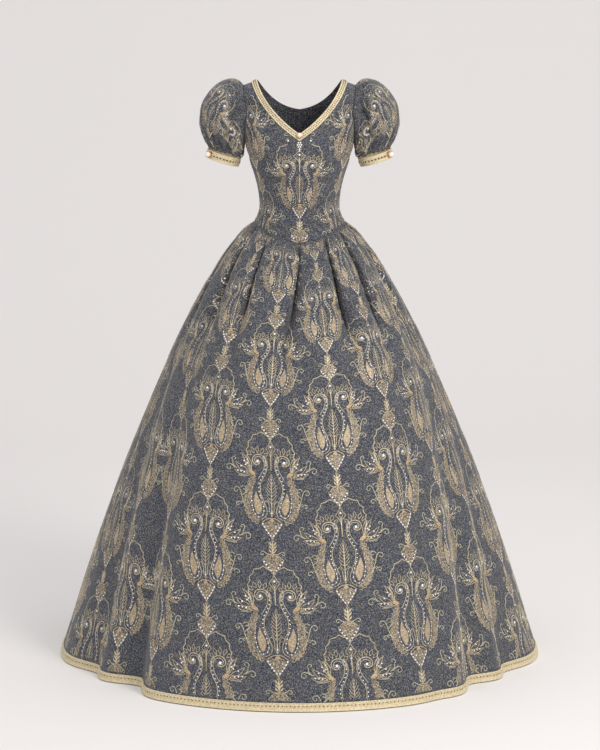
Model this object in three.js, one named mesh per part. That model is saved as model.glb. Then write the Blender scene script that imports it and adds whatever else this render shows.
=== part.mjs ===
// A ball gown as it hangs when worn: fitted bodice with a V neck and a pointed waist, short puff
// sleeves gathered into bands, and a full floor-length skirt in soft pleats. Sizes are in millimetres.
// +X is the wearer's left, -Y the front and +Z up. The origin is midway between the shoulder seams,
// which carry the gown.
import * as THREE from "three";

// Cloth and trimming
const CLOTH = 2; // wall of the heavy jacquard
const SEAM_GAP = 0.3; // between pieces sewn edge to edge
const BRAID = 1.5; // wall of the metallic braid
const NECK_BRAID_WIDTH = 15;
const HEM_BRAID_WIDTH = 21;

// Lengths down the body, from the shoulder seams
const ARMPIT_Z = -165;
const SIDE_WAIST_Z = -369; // where bodice and skirt meet at the sides
const BASQUE_DROP = 42; // how far the pointed waist dips at the centre front
const BASQUE_SHARPNESS = 1.2;
const HEM_Z = -1530;
const HEM_RADIUS = 640;

// The shoulder strap, whose top slopes down towards the arm
const SHOULDER_NECK_X = 111;
const SHOULDER_ARM_X = 147;
const SHOULDER_ARM_Z = -8;
const SHOULDER_SLOPE = 0.38;
const SHOULDER_ROLL_Z = -60; // above this the chest rolls back to the shoulder seam

// Bodice sections: half width, depth forward and back of the side seams, and how square they are
const BODICE_SECTIONS = [
  { z: 10, wide: 158, front: 84, back: 88, square: 2.6 },
  { z: -60, wide: 158, front: 84, back: 88, square: 2.6 },
  { z: -100, wide: 156, front: 97, back: 95, square: 2.6 },
  { z: -130, wide: 150, front: 107, back: 99, square: 2.5 },
  { z: -165, wide: 141, front: 116, back: 101, square: 2.4 },
  { z: -190, wide: 134, front: 120, back: 101, square: 2.3 },
  { z: -215, wide: 128, front: 118, back: 99, square: 2.2 },
  { z: -245, wide: 118.5, front: 109, back: 95, square: 2.15 },
  { z: -280, wide: 110, front: 97, back: 89, square: 2.1 },
  { z: -322, wide: 105.5, front: 88, back: 85, square: 2.1 },
  { z: -345, wide: 109, front: 90, back: 88, square: 2.1 },
  { z: -369, wide: 120, front: 97, back: 98, square: 2.1 },
  { z: -415, wide: 140, front: 108, back: 118, square: 2.1 },
];

// Necklines, each a quadratic curve from the centre (0, point) to the shoulder
const FRONT_NECK = { point: -124, pullX: 80, pullZ: -71 };
const BACK_NECK = { point: -82, pullX: 74, pullZ: -72 };

// Armhole, an upright oval seen from the side
const ARMHOLE_FRONT = 54;
const ARMHOLE_BACK = 58;

// Bell of the skirt: share of the way out from the waist to the hem, against the share of the way down
const BELL = [
  { down: 0, out: 0 },
  { down: 0.02, out: 0.058 },
  { down: 0.045, out: 0.105 },
  { down: 0.08, out: 0.163 },
  { down: 0.145, out: 0.251 },
  { down: 0.25, out: 0.375 },
  { down: 0.39, out: 0.513 },
  { down: 0.55, out: 0.659 },
  { down: 0.74, out: 0.813 },
  { down: 1, out: 1 },
];

// Pleats, in the order that they go round from the wearer's right back to the left back. Each row is
// the bottom of one fold: its angle from the centre front in degrees at the waist, halfway and hem,
// its depth in millimetres at 4, 12, 30, 60 and 100 % of the way down, and the widths in degrees of
// its side nearer the centre front and of its side further from it.
const FOLDS = [
  { waist: -163, half: -162, hem: -161, d4: 9, d12: 17, d30: 11, d60: 20, d100: 34, near: 5, far: 7 },
  { waist: -138, half: -135, hem: -133, d4: 9, d12: 16, d30: 9, d60: 13, d100: 22, near: 6, far: 7 },
  { waist: -113, half: -107, hem: -104, d4: 9, d12: 17, d30: 13, d60: 26, d100: 44, near: 5, far: 9 },
  { waist: -86, half: -71, hem: -64, d4: 8, d12: 13, d30: 10, d60: 24, d100: 46, near: 4, far: 8 },
  { waist: -62, half: -52, hem: -47, d4: 11, d12: 18, d30: 13, d60: 42, d100: 72, near: 4.5, far: 9 },
  { waist: -37, half: -33, hem: -31, d4: 10, d12: 17, d30: 5, d60: 0, d100: 0, near: 4, far: 5 },
  { waist: 0, half: -8, hem: -9, d4: 11, d12: 21, d30: 6, d60: 0, d100: 0, near: 4, far: 5 },
  { waist: 32, half: 28, hem: 24, d4: 11, d12: 22, d30: 8, d60: 0, d100: 0, near: 4, far: 5 },
  { waist: 56, half: 44, hem: 35, d4: 8, d12: 13, d30: 12, d60: 9, d100: 11, near: 5, far: 5 },
  { waist: 74, half: 60, hem: 50, d4: 10, d12: 16, d30: 15, d60: 34, d100: 62, near: 4.5, far: 8 },
  { waist: 90, half: 74, hem: 65, d4: 7, d12: 11, d30: 11, d60: 23, d100: 45, near: 4, far: 8 },
  { waist: 112, half: 106, hem: 102, d4: 9, d12: 17, d30: 13, d60: 25, d100: 40, near: 5, far: 9 },
  { waist: 136, half: 134, hem: 131, d4: 9, d12: 15, d30: 9, d60: 14, d100: 24, near: 6, far: 7 },
  { waist: 162, half: 163, hem: 163, d4: 9, d12: 17, d30: 12, d60: 19, d100: 30, near: 5, far: 7 },
];
const DEPTH_LEVELS = [0, 0.04, 0.12, 0.3, 0.6, 1];
const SIDE_SEAM_RIGHT = -47; // skirt seams lie at the bottom of a fold, named by its angle at the hem
const BACK_SEAM_RIGHT = -104;
const SIDE_SEAM_LEFT = 50;
const BACK_SEAM_LEFT = 102;
const ROWS_DOWN = [0, 0.02, 0.045, 0.08, 0.13, 0.2, 0.3, 0.43, 0.57, 0.71, 0.85];

// Left sleeve from armhole to cuff: where each section has its outer and its underarm point, and how
// far it reaches fore and aft
const SLEEVE = [
  { along: 0, outX: 147, outZ: -8, underX: 141, underZ: -165, deep: 56 },
  { along: 0.06, outX: 158, outZ: 4, underX: 142.5, underZ: -167, deep: 63 },
  { along: 0.15, outX: 176, outZ: 9, underX: 143, underZ: -170, deep: 72 },
  { along: 0.28, outX: 206, outZ: 1, underX: 143, underZ: -175, deep: 80 },
  { along: 0.43, outX: 237, outZ: -26, underX: 143, underZ: -181, deep: 85 },
  { along: 0.6, outX: 259, outZ: -67, underX: 143.5, underZ: -187, deep: 84 },
  { along: 0.77, outX: 264, outZ: -109, underX: 145, underZ: -193, deep: 76 },
  { along: 0.9, outX: 254, outZ: -146, underX: 148, underZ: -197.5, deep: 61 },
  { along: 1, outX: 238, outZ: -174, underX: 154, underZ: -200, deep: 44 },
];
const ARMHOLE_CLEAR = 1.3; // sleeve head to bodice edge
const CUFF_TILT = 73;
const BAND_LENGTH = 22.5;
const BAND_RADIUS = 45.5;
const BAND_WALL = 2.2;

// Pearl buttons in plain metal cups
const NECK_PEARL_RADIUS = 6;
const SLEEVE_PEARL_RADIUS = 7;
const SLEEVE_PEARL_ROUND = 40; // degrees from the outer side of the band towards the front
const CUP_LIP = 1.4; // how far the cup stands out beyond the pearl all round

const CENTRE_BACK = 180;
const degrees = (a) => (a * Math.PI) / 180;
const mix = (a, b, s) => a + (b - a) * s;
const clamp = (x, low, high) => Math.min(high, Math.max(low, x));

// Smooth value through a table's rows that never overshoots them.
function along(rows, key, column, at) {
  const last = rows.length - 1;
  const rising = rows[last][key] > rows[0][key];
  let i = 0;
  while (i < last - 1 && (rising ? at > rows[i + 1][key] : at < rows[i + 1][key])) i += 1;
  const slope = (k) => (rows[k + 1][column] - rows[k][column]) / (rows[k + 1][key] - rows[k][key]);
  const tangent = (k) => {
    if (k === 0) return slope(0);
    if (k === last) return slope(last - 1);
    const before = slope(k - 1);
    const after = slope(k);
    return before * after <= 0 ? 0 : (2 * before * after) / (before + after);
  };
  const span = rows[i + 1][key] - rows[i][key];
  const s = clamp((at - rows[i][key]) / span, 0, 1);
  const a = rows[i][column];
  const b = rows[i + 1][column];
  return (
    a * (1 + 2 * s) * (1 - s) ** 2 +
    b * s * s * (3 - 2 * s) +
    span * (tangent(i) * s * (1 - s) ** 2 - tangent(i + 1) * s * s * (1 - s))
  );
}

const shoulderTop = (x) => SHOULDER_ARM_Z + SHOULDER_SLOPE * (SHOULDER_ARM_X - x);

// Depth of the bodice at a height, rolling to nothing at the shoulder seam.
function bodiceDepth(side, x, z) {
  const depth = along(BODICE_SECTIONS, "z", side < 0 ? "front" : "back", Math.min(z, SHOULDER_ROLL_Z));
  if (z <= SHOULDER_ROLL_Z) return depth;
  const up = (z - SHOULDER_ROLL_Z) / (shoulderTop(x) - SHOULDER_ROLL_Z);
  return depth * Math.sqrt(Math.max(0, 1 - up * up));
}

// Point of the bodice at an angle round from the centre front or centre back. side -1 is the front.
function bodicePoint(side, angle, z) {
  const power = 2 / along(BODICE_SECTIONS, "z", "square", z);
  const x = along(BODICE_SECTIONS, "z", "wide", z) * Math.sin(angle) ** power;
  return new THREE.Vector3(x, side * bodiceDepth(side, x, z) * Math.cos(angle) ** power, z);
}

function angleAtX(x, z) {
  const wide = along(BODICE_SECTIONS, "z", "wide", z);
  return Math.asin(clamp(x / wide, 0, 1) ** (along(BODICE_SECTIONS, "z", "square", z) / 2));
}

function angleAtDepth(side, depth, z) {
  const full = bodiceDepth(side, SHOULDER_ARM_X, z);
  return Math.acos(clamp(depth / full, 0, 1) ** (along(BODICE_SECTIONS, "z", "square", z) / 2));
}

// Outward normal of a surface given as a function of two parameters, from small steps.
function normalOf(surface, a, b, stepA, stepB) {
  const across = surface(a + stepA, b).sub(surface(a - stepA, b));
  const down = surface(a, b + stepB).sub(surface(a, b - stepB));
  return across.cross(down).normalize();
}

// Where bodice and skirt meet: level at the back, dipping to a point at the centre front.
function waistZ(angle) {
  const dip = Math.cos(angle) > 0 ? 1 - Math.abs(Math.sin(angle)) ** BASQUE_SHARPNESS : 0;
  return SIDE_WAIST_Z - BASQUE_DROP * dip;
}

// A piece of cloth surface: merged points with outward normals, and faces seen from outside.
class Patch {
  constructor() {
    this.points = [];
    this.normals = [];
    this.faces = [];
    this.known = new Map();
  }

  add(point, normal) {
    const key = point.toArray().map((v) => Math.round(v * 1000)).join();
    if (!this.known.has(key)) {
      this.known.set(key, this.points.length);
      this.points.push(point);
      this.normals.push(normal);
    }
    return this.known.get(key);
  }

  quad(a, b, c, d) {
    if (a !== b && b !== c && a !== c) this.faces.push([a, b, c]);
    if (a !== c && c !== d && a !== d) this.faces.push([a, c, d]);
  }

  // Adds a grid of { point, normal }. Rows run down and columns run to the right as seen from outside,
  // unless turned says the other way. ring closes each row on itself.
  grid(rows, turned = false, ring = false) {
    const ids = rows.map((row) => row.map((p) => this.add(p.point, p.normal)));
    for (let r = 0; r + 1 < ids.length; r += 1) {
      const columns = ids[r].length;
      for (let c = 0; c + (ring ? 0 : 1) < columns; c += 1) {
        const next = (c + 1) % columns;
        const corners = [ids[r][c], ids[r + 1][c], ids[r + 1][next], ids[r][next]];
        if (turned) corners.reverse();
        this.quad(...corners);
      }
    }
    return this;
  }

  // The closed wall between two distances out from the surface.
  wall(low, high) {
    const count = this.points.length;
    const positions = [];
    for (const distance of [high, low]) {
      this.points.forEach((p, i) => {
        positions.push(...p.clone().addScaledVector(this.normals[i], distance).toArray());
      });
    }
    const edges = new Set(this.faces.flatMap(([a, b, c]) => [`${a},${b}`, `${b},${c}`, `${c},${a}`]));
    const index = [];
    for (const [a, b, c] of this.faces) {
      index.push(a, b, c, c + count, b + count, a + count);
      for (const [from, to] of [[a, b], [b, c], [c, a]]) {
        if (edges.has(`${to},${from}`)) continue;
        index.push(to, from, from + count, to, from + count, to + count);
      }
    }
    const geometry = new THREE.BufferGeometry();
    geometry.setAttribute("position", new THREE.Float32BufferAttribute(positions, 3));
    geometry.setIndex(index);
    geometry.computeVertexNormals();
    return geometry;
  }
}

// Neckline at a share of the way from the centre to the shoulder, and the braid's outer edge beside it.
function neckEdges(neck, share) {
  const z2 = shoulderTop(SHOULDER_NECK_X);
  const keep = 1 - share;
  const x = 2 * keep * share * neck.pullX + share ** 2 * SHOULDER_NECK_X;
  const z = keep ** 2 * neck.point + 2 * keep * share * neck.pullZ + share ** 2 * z2;
  const runX = 2 * keep * neck.pullX + 2 * share * (SHOULDER_NECK_X - neck.pullX);
  const runZ = 2 * keep * (neck.pullZ - neck.point) + 2 * share * (z2 - neck.pullZ);
  const run = Math.hypot(runX, runZ);
  if (share === 0) return { x, z, outerX: 0, outerZ: z - (NECK_BRAID_WIDTH * run) / runX };
  return {
    x,
    z,
    outerX: x + (NECK_BRAID_WIDTH * runZ) / run,
    outerZ: z - (NECK_BRAID_WIDTH * runX) / run,
  };
}

const ARMHOLE_ROWS = [0, 0.1, 0.3, 0.4, 0.6, 0.8, 0.9, 1]; // share of the way up the armhole
const NECK_EASE = 0.87; // how much sooner the same rows rise at the neckline
const BODICE_COLUMNS = 9;
const BODICE_ROWS = 6;

// One half of the bodice front or back, on the wearer's left: the strip under the neck braid, the
// chest from there to the armhole, and the part below, down to the waist.
function bodiceHalf(side, neck, armholeDepth) {
  const surface = (angle, z) => bodicePoint(side, clamp(angle, 1e-4, Math.PI / 2 - 1e-4), z);
  const place = (angle, z, top) => {
    const point = bodicePoint(side, angle, z);
    if (angle > Math.PI / 2 - 1e-3) point.y = (side * SEAM_GAP) / 2;
    const normal = normalOf(surface, angle, z, 0.02, 1.5);
    if (side > 0) normal.negate();
    if (point.x < 1e-6) normal.x = 0;
    if (top) {
      point.set(point.x, (side * SEAM_GAP) / 2, shoulderTop(point.x));
      normal.set(SHOULDER_SLOPE, 0, 1);
    }
    return { point, normal: normal.normalize() };
  };
  const strip = [];
  const chest = [];
  ARMHOLE_ROWS.forEach((share, row) => {
    const top = row === ARMHOLE_ROWS.length - 1;
    const edge = neckEdges(neck, share ** NECK_EASE);
    const outerZ = top ? shoulderTop(edge.outerX) : Math.min(edge.outerZ, shoulderTop(edge.outerX) - 2);
    const turn = Math.PI * share;
    const armZ = mix(ARMPIT_Z, SHOULDER_ARM_Z, (1 - Math.cos(turn)) / 2);
    const armAngle = top
      ? angleAtX(SHOULDER_ARM_X, SHOULDER_ARM_Z)
      : angleAtDepth(side, armholeDepth * Math.sin(turn), armZ);
    const innerAngle = angleAtX(edge.outerX, outerZ);
    strip.push([
      place(angleAtX(edge.x, edge.z), edge.z, top),
      place(innerAngle, outerZ, top),
    ]);
    const line = [];
    for (let c = 0; c <= BODICE_COLUMNS; c += 1) {
      const s = c / BODICE_COLUMNS;
      line.push(place(mix(innerAngle, row ? armAngle : Math.PI / 2, s), mix(outerZ, armZ, s), top));
    }
    chest.push(line);
  });
  const body = [];
  const startZ = neckEdges(neck, 0).outerZ;
  for (let r = 0; r <= BODICE_ROWS; r += 1) {
    const line = [];
    for (let c = 0; c <= BODICE_COLUMNS; c += 1) {
      const s = c / BODICE_COLUMNS;
      const angle = (s * Math.PI) / 2;
      const bottom = side < 0 ? waistZ(angle) : SIDE_WAIST_Z;
      line.push(place(angle, mix(mix(startZ, ARMPIT_Z, s), bottom, (r / BODICE_ROWS) ** 0.9), false));
    }
    body.push(line);
  }
  return { strip, chest, body };
}

// The same half on the wearer's right.
const mirrored = (rows) =>
  rows.map((row) =>
    row.map(({ point, normal }) => ({
      point: point.clone().setX(-point.x),
      normal: normal.clone().setX(-normal.x),
    })),
  );

// A half moved off the centre line, for panels that meet there.
const offCentre = (rows) =>
  rows.map((row) =>
    row.map(({ point, normal }) => ({
      point: point.x < SEAM_GAP / 2 ? point.clone().setX(SEAM_GAP / 2) : point,
      normal,
    })),
  );

// Angle of each fold at a height, and the angle there of a line named by its angle at the hem.
function foldAngle(fold, down) {
  const early = 2 * (1 - down) * (0.5 - down);
  const middle = 4 * down * (1 - down);
  const late = 2 * down * (down - 0.5);
  return early * fold.waist + middle * fold.half + late * fold.hem;
}

function angleRound(named, down) {
  const posts = [
    { hem: -CENTRE_BACK, now: -CENTRE_BACK },
    ...FOLDS.map((fold) => ({ hem: fold.hem, now: foldAngle(fold, down) })),
    { hem: CENTRE_BACK, now: CENTRE_BACK },
  ];
  return along(posts, "hem", "now", named);
}

function foldDepth(named, down) {
  let depth = 0;
  for (const fold of FOLDS) {
    const levels = [0, fold.d4, fold.d12, fold.d30, fold.d60, fold.d100];
    const rows = DEPTH_LEVELS.map((level, i) => ({ level, deep: levels[i] }));
    const away = (named - fold.hem) * Math.sign(fold.hem);
    const width = away < 0 ? fold.near : fold.far;
    depth += along(rows, "level", "deep", down) * Math.exp(-((away / width) ** 2));
  }
  return depth;
}

// Point of the skirt on the line named by its angle at the hem, at a share of the way down.
function skirtPoint(named, down) {
  const level = clamp(down, 0, 1);
  const angle = degrees(angleRound(named, level));
  const side = Math.cos(angle) > 0 ? -1 : 1;
  const round = Math.acos(Math.abs(Math.cos(angle)));
  const topZ = waistZ(angle) - SEAM_GAP;
  const top = bodicePoint(side, round, topZ);
  const out = along(BELL, "down", "out", level);
  const depth = foldDepth(named, level);
  return new THREE.Vector3(
    mix(top.x * Math.sign(angle), HEM_RADIUS * Math.sin(angle), out) - depth * Math.sin(angle),
    mix(top.y, -HEM_RADIUS * Math.cos(angle), out) + depth * Math.cos(angle),
    mix(topZ, HEM_Z, down),
  );
}

// Skirt lines from one seam to the next: a few between each two folds, closer near the folds.
function linesBetween(from, to) {
  const stops = [from, ...FOLDS.map((fold) => fold.hem).filter((a) => a > from && a < to), to];
  const lines = [from];
  for (let i = 0; i + 1 < stops.length; i += 1) {
    const count = Math.max(3, Math.round((stops[i + 1] - stops[i]) / 4.2));
    for (let k = 1; k <= count; k += 1) {
      const even = k / count;
      const eased = (1 - Math.cos(Math.PI * even)) / 2;
      lines.push(mix(stops[i], stops[i + 1], mix(even, eased, 0.45)));
    }
  }
  return lines;
}

function skirtGrid(from, to, levels) {
  const lines = linesBetween(from, to);
  return levels.map((down) =>
    lines.map((named, i) => {
      const inset = (i === 0 ? 1 : 0) - (i === lines.length - 1 ? 1 : 0);
      const point = skirtPoint(named, down);
      const normal = normalOf(skirtPoint, clamp(named, -178.5, 178.5), down, 1.2, 0.006).negate();
      if (down === 1) normal.setZ(0).normalize();
      const sideways = new THREE.Vector3(0, 0, 1).cross(normal).normalize();
      return { point: point.addScaledVector(sideways, (inset * SEAM_GAP) / 1.6), normal };
    }),
  );
}

// Left sleeve. Angle 0 is the top of the shoulder, 90 the front, 180 the underarm.
function sleeveSection(share, round) {
  const value = (column) => along(SLEEVE, "along", column, share);
  const outward = (1 + Math.cos(round)) / 2;
  return new THREE.Vector3(
    mix(value("underX"), value("outX"), outward),
    -value("deep") * Math.sin(round),
    mix(value("underZ"), value("outZ"), outward),
  );
}

function armholePoint(round) {
  const side = Math.sin(round) > 0 ? -1 : 1;
  const z = mix(ARMPIT_Z, SHOULDER_ARM_Z, (1 + Math.cos(round)) / 2);
  const depth = (side < 0 ? ARMHOLE_FRONT : ARMHOLE_BACK) * Math.abs(Math.sin(round));
  const atTop = z > SHOULDER_ARM_Z - 1e-6;
  const angle = atTop ? angleAtX(SHOULDER_ARM_X, z) : angleAtDepth(side, depth, z);
  const x = along(BODICE_SECTIONS, "z", "wide", z) *
    Math.sin(angle) ** (2 / along(BODICE_SECTIONS, "z", "square", z));
  return new THREE.Vector3(x, side * depth, z);
}

const HEAD_BLEND = 0.2; // share of the sleeve over which the armhole's own shape fades out
function sleevePoint(share, round) {
  const point = sleeveSection(share, round);
  const keep = Math.max(0, 1 - share / HEAD_BLEND) ** 2;
  const correction = armholePoint(round).sub(sleeveSection(0, round));
  point.addScaledVector(correction, keep);
  point.x += ARMHOLE_CLEAR;
  return point;
}

const SLEEVE_ROWS = [0, 0.06, 0.15, 0.28, 0.43, 0.6, 0.77, 0.9, 1];
const SLEEVE_COLUMNS = 20;
function sleeveGrid() {
  return SLEEVE_ROWS.map((share) => {
    const row = [];
    for (let c = 0; c < SLEEVE_COLUMNS; c += 1) {
      const round = (2 * Math.PI * c) / SLEEVE_COLUMNS;
      const normal = normalOf(sleevePoint, clamp(share, 0.02, 0.98), round, 0.02, 0.1).negate();
      if (share === 0) normal.setX(0).normalize();
      if (share === 1) {
        const axis = new THREE.Vector3(Math.cos(degrees(CUFF_TILT)), 0, -Math.sin(degrees(CUFF_TILT)));
        normal.addScaledVector(axis, -normal.dot(axis)).normalize();
      }
      row.push({ point: sleevePoint(share, round), normal });
    }
    return row;
  });
}

// Colours of the cloth, the braid, the pearls and their cups
const JACQUARD = { color: 0x555f72, roughness: 0.85, metalness: 0 };
const GOLD_BRAID = { color: 0xcdb988, roughness: 0.5, metalness: 0.35 };
const PEARL = { color: 0xf0e8df, roughness: 0.25, metalness: 0 };
const GILT = { color: 0xc2a36a, roughness: 0.35, metalness: 0.9 };

const gown = new THREE.Group();
function add(name, geometry, look, parent = gown) {
  const mesh = new THREE.Mesh(geometry, new THREE.MeshStandardMaterial(look));
  mesh.name = name;
  parent.add(mesh);
  return mesh;
}
const cloth = (patch) => patch.wall(-CLOTH, 0);
const braid = (patch) => patch.wall(SEAM_GAP, SEAM_GAP + BRAID);

// Bodice: a front in one piece, and two backs that meet at the centre back closing
const front = bodiceHalf(-1, FRONT_NECK, ARMHOLE_FRONT);
const back = bodiceHalf(1, BACK_NECK, ARMHOLE_BACK);
const frontPatch = new Patch();
const frontBraid = new Patch();
for (const turned of [false, true]) {
  const half = (rows) => (turned ? mirrored(rows) : rows);
  // The neck rows run up, so their faces turn the other way from those of the body rows.
  frontPatch.grid(half(front.strip), !turned).grid(half(front.chest), !turned);
  frontPatch.grid(half(front.body), turned);
  frontBraid.grid(half(front.strip), !turned);
}
add("bodice_front", cloth(frontPatch), JACQUARD);
add("neck_braid_front", braid(frontBraid), GOLD_BRAID);
for (const hand of ["left", "right"]) {
  const turned = hand === "right";
  const half = (rows) => (hand === "left" ? offCentre(rows) : mirrored(offCentre(rows)));
  const patch = new Patch();
  patch.grid(half(back.strip), turned).grid(half(back.chest), turned);
  patch.grid(half(back.body), !turned);
  add(`bodice_back_${hand}`, cloth(patch), JACQUARD);
  add(`neck_braid_back_${hand}`, braid(new Patch().grid(half(back.strip), turned)), GOLD_BRAID);
}

// Skirt: five panels that meet at the bottom of folds, and the braid along each hem
const SKIRT_PANELS = {
  front: [SIDE_SEAM_RIGHT, SIDE_SEAM_LEFT],
  side_left: [SIDE_SEAM_LEFT, BACK_SEAM_LEFT],
  back_left: [BACK_SEAM_LEFT, CENTRE_BACK],
  back_right: [-CENTRE_BACK, BACK_SEAM_RIGHT],
  side_right: [BACK_SEAM_RIGHT, SIDE_SEAM_RIGHT],
};
const braidTop = 1 - HEM_BRAID_WIDTH / (SIDE_WAIST_Z - HEM_Z);
for (const [name, [from, to]] of Object.entries(SKIRT_PANELS)) {
  const panel = new Patch().grid(skirtGrid(from, to, [...ROWS_DOWN, braidTop, 1]));
  add(`skirt_${name}`, cloth(panel), JACQUARD);
  const hem = new Patch().grid(skirtGrid(from, to, [braidTop, 1]));
  add(`hem_braid_${name}`, braid(hem), GOLD_BRAID);
}

// A pearl held in a shallow cup, standing out along its group's own +Z
function pearlButton(name, radius, place, outward) {
  const holder = new THREE.Group();
  holder.position.copy(place);
  holder.quaternion.setFromUnitVectors(new THREE.Vector3(0, 0, 1), outward);
  gown.add(holder);
  const lip = radius + CUP_LIP;
  const floor = 1;
  const bowl = radius + SEAM_GAP;
  const profile = [new THREE.Vector2(0, 0), new THREE.Vector2(lip, 0), new THREE.Vector2(lip, radius * 0.6)];
  const steps = 4;
  for (let i = steps; i >= 0; i -= 1) {
    const round = degrees(mix(0, 62, i / steps));
    const middle = floor + bowl;
    profile.push(new THREE.Vector2(bowl * Math.sin(round), middle - bowl * Math.cos(round)));
  }
  add(`${name}_cup`, new THREE.LatheGeometry(profile, 16).rotateX(Math.PI / 2), GILT, holder);
  const pearl = add(name, new THREE.SphereGeometry(radius, 14, 10), PEARL, holder);
  pearl.position.z = floor + bowl;
}

const NECK_PEARL_DROP = 4; // from the point of the neck to the middle of the pearl
const neckPoint = bodicePoint(-1, 0, FRONT_NECK.point - NECK_PEARL_DROP);
const neckOut = new THREE.Vector3(0, -1, 0.26).normalize();
const PEARL_SEAT = 2.4; // from the cloth to the back of the cup, over the braid
pearlButton("pearl_neck", NECK_PEARL_RADIUS, neckPoint.clone().addScaledVector(neckOut, PEARL_SEAT), neckOut);

// Sleeves, their bands and the pearl on each band
const bandAxis = new THREE.Vector3(Math.cos(degrees(CUFF_TILT)), 0, -Math.sin(degrees(CUFF_TILT)));
const bandOut = new THREE.Vector3(Math.sin(degrees(CUFF_TILT)), 0, Math.cos(degrees(CUFF_TILT)));
const cuffEnd = SLEEVE.at(-1);
const cuff = new THREE.Vector3(
  (cuffEnd.outX + cuffEnd.underX) / 2 + ARMHOLE_CLEAR,
  0,
  (cuffEnd.outZ + cuffEnd.underZ) / 2,
);
const BAND_COLUMNS = 24;
function bandGrid() {
  const ends = [SEAM_GAP, SEAM_GAP + BAND_LENGTH];
  return ends.map((reach) => {
    const row = [];
    for (let c = 0; c < BAND_COLUMNS; c += 1) {
      const round = (2 * Math.PI * c) / BAND_COLUMNS;
      const normal = bandOut.clone().multiplyScalar(Math.cos(round));
      normal.y = -Math.sin(round);
      const point = cuff.clone().addScaledVector(bandAxis, reach).addScaledVector(normal, BAND_RADIUS);
      row.push({ point, normal });
    }
    return row;
  });
}
for (const hand of ["left", "right"]) {
  const isLeft = hand === "left";
  const half = (rows) => (isLeft ? rows : mirrored(rows));
  add(`sleeve_${hand}`, cloth(new Patch().grid(half(sleeveGrid()), isLeft, true)), JACQUARD);
  const band = new Patch().grid(half(bandGrid()), isLeft, true);
  add(`sleeve_band_${hand}`, band.wall(-BAND_WALL, 0), GOLD_BRAID);
  const seat = cuff.clone().addScaledVector(bandAxis, SEAM_GAP + BAND_LENGTH / 2);
  const outward = bandOut.clone().multiplyScalar(Math.cos(degrees(SLEEVE_PEARL_ROUND)));
  outward.y = -Math.sin(degrees(SLEEVE_PEARL_ROUND));
  seat.addScaledVector(outward, BAND_RADIUS + SEAM_GAP);
  if (!isLeft) {
    seat.x *= -1;
    outward.x *= -1;
  }
  pearlButton(`pearl_sleeve_${hand}`, SLEEVE_PEARL_RADIUS, seat, outward);
}

export default gown;
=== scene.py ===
"""A ball gown of heathered jacquard, embroidered in gold and set with crystals.

Sizes are in millimetres until a mesh is made, which is in metres. +X is the wearer's left, -Y the
front and +Z up, and the origin is midway between the shoulder seams.
"""

import math

import bpy
import numpy as np
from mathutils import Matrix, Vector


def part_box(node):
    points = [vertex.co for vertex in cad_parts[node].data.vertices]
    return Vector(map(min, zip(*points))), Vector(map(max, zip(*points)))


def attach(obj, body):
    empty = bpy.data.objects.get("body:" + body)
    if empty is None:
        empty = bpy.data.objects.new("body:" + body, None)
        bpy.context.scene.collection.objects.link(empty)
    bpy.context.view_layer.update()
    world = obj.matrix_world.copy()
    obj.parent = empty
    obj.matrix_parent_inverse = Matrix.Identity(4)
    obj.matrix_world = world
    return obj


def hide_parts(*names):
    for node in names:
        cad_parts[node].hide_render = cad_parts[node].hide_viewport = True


MM = 0.001
DEG = math.pi / 180


# Tables and curves


def table(columns, *rows):
    """A small table: each named column as an array."""
    return dict(zip(columns.split(), np.array(rows, float).T))


def follow(rows, key, column, at):
    """Smooth value of a column where the key column has the value at. It never passes the rows."""
    x = rows[key]
    y = rows[column]
    return follow_posts(x, y[:, None], np.asarray(at, float).ravel()).reshape(np.shape(at))


def follow_posts(x, y, at):
    """Smooth curve through the heights y, one column for each value of at, over the places x."""
    at = np.clip(at, x[0], x[-1])
    slope = np.diff(y, axis=0) / np.diff(x)[:, None]
    product = slope[:-1] * slope[1:]
    total = slope[:-1] + slope[1:]
    inner = np.where(product > 0, 2 * product / np.where(total == 0, 1, total), 0)
    tangent = np.concatenate((slope[:1], inner, slope[-1:]))
    i = np.clip(np.searchsorted(x, at, side="right") - 1, 0, len(x) - 2)
    span = x[i + 1] - x[i]
    s = (at - x[i]) / span
    n = np.arange(len(at)) if y.shape[1] > 1 else 0
    ends = y[i, n] * (1 + 2 * s) * (1 - s) ** 2 + y[i + 1, n] * s * s * (3 - 2 * s)
    lean = tangent[i, n] * s * (1 - s) ** 2 - tangent[i + 1, n] * s * s * (1 - s)
    return ends + span * lean


def unit(v):
    return v / np.maximum(np.linalg.norm(v, axis=-1, keepdims=True), 1e-12)


def smoothstep(low, high, x):
    s = np.clip((x - low) / (high - low), 0, 1)
    return s * s * (3 - 2 * s)


# The gown's form, the same as that of its solids but with the finer folds

CLOTH = 2.0  # thickness of the cloth
SEAM_GAP = 0.3  # between a piece and the one that it is sewn to
NECK_BRAID_WIDTH = 15
HEM_BRAID_WIDTH = 21
ARMPIT_Z = -165
SIDE_WAIST_Z = -369
BASQUE_DROP = 42  # how much lower the waist's point is than its sides
BASQUE_SHARPNESS = 1.2
HEM_Z = -1530
HEM_RADIUS = 640
SHOULDER_NECK_X = 111
SHOULDER_ARM_X = 147
SHOULDER_ARM_Z = -8
SHOULDER_SLOPE = 0.38
SHOULDER_ROLL_Z = -60  # above this height front and back roll towards the shoulder seam

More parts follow.
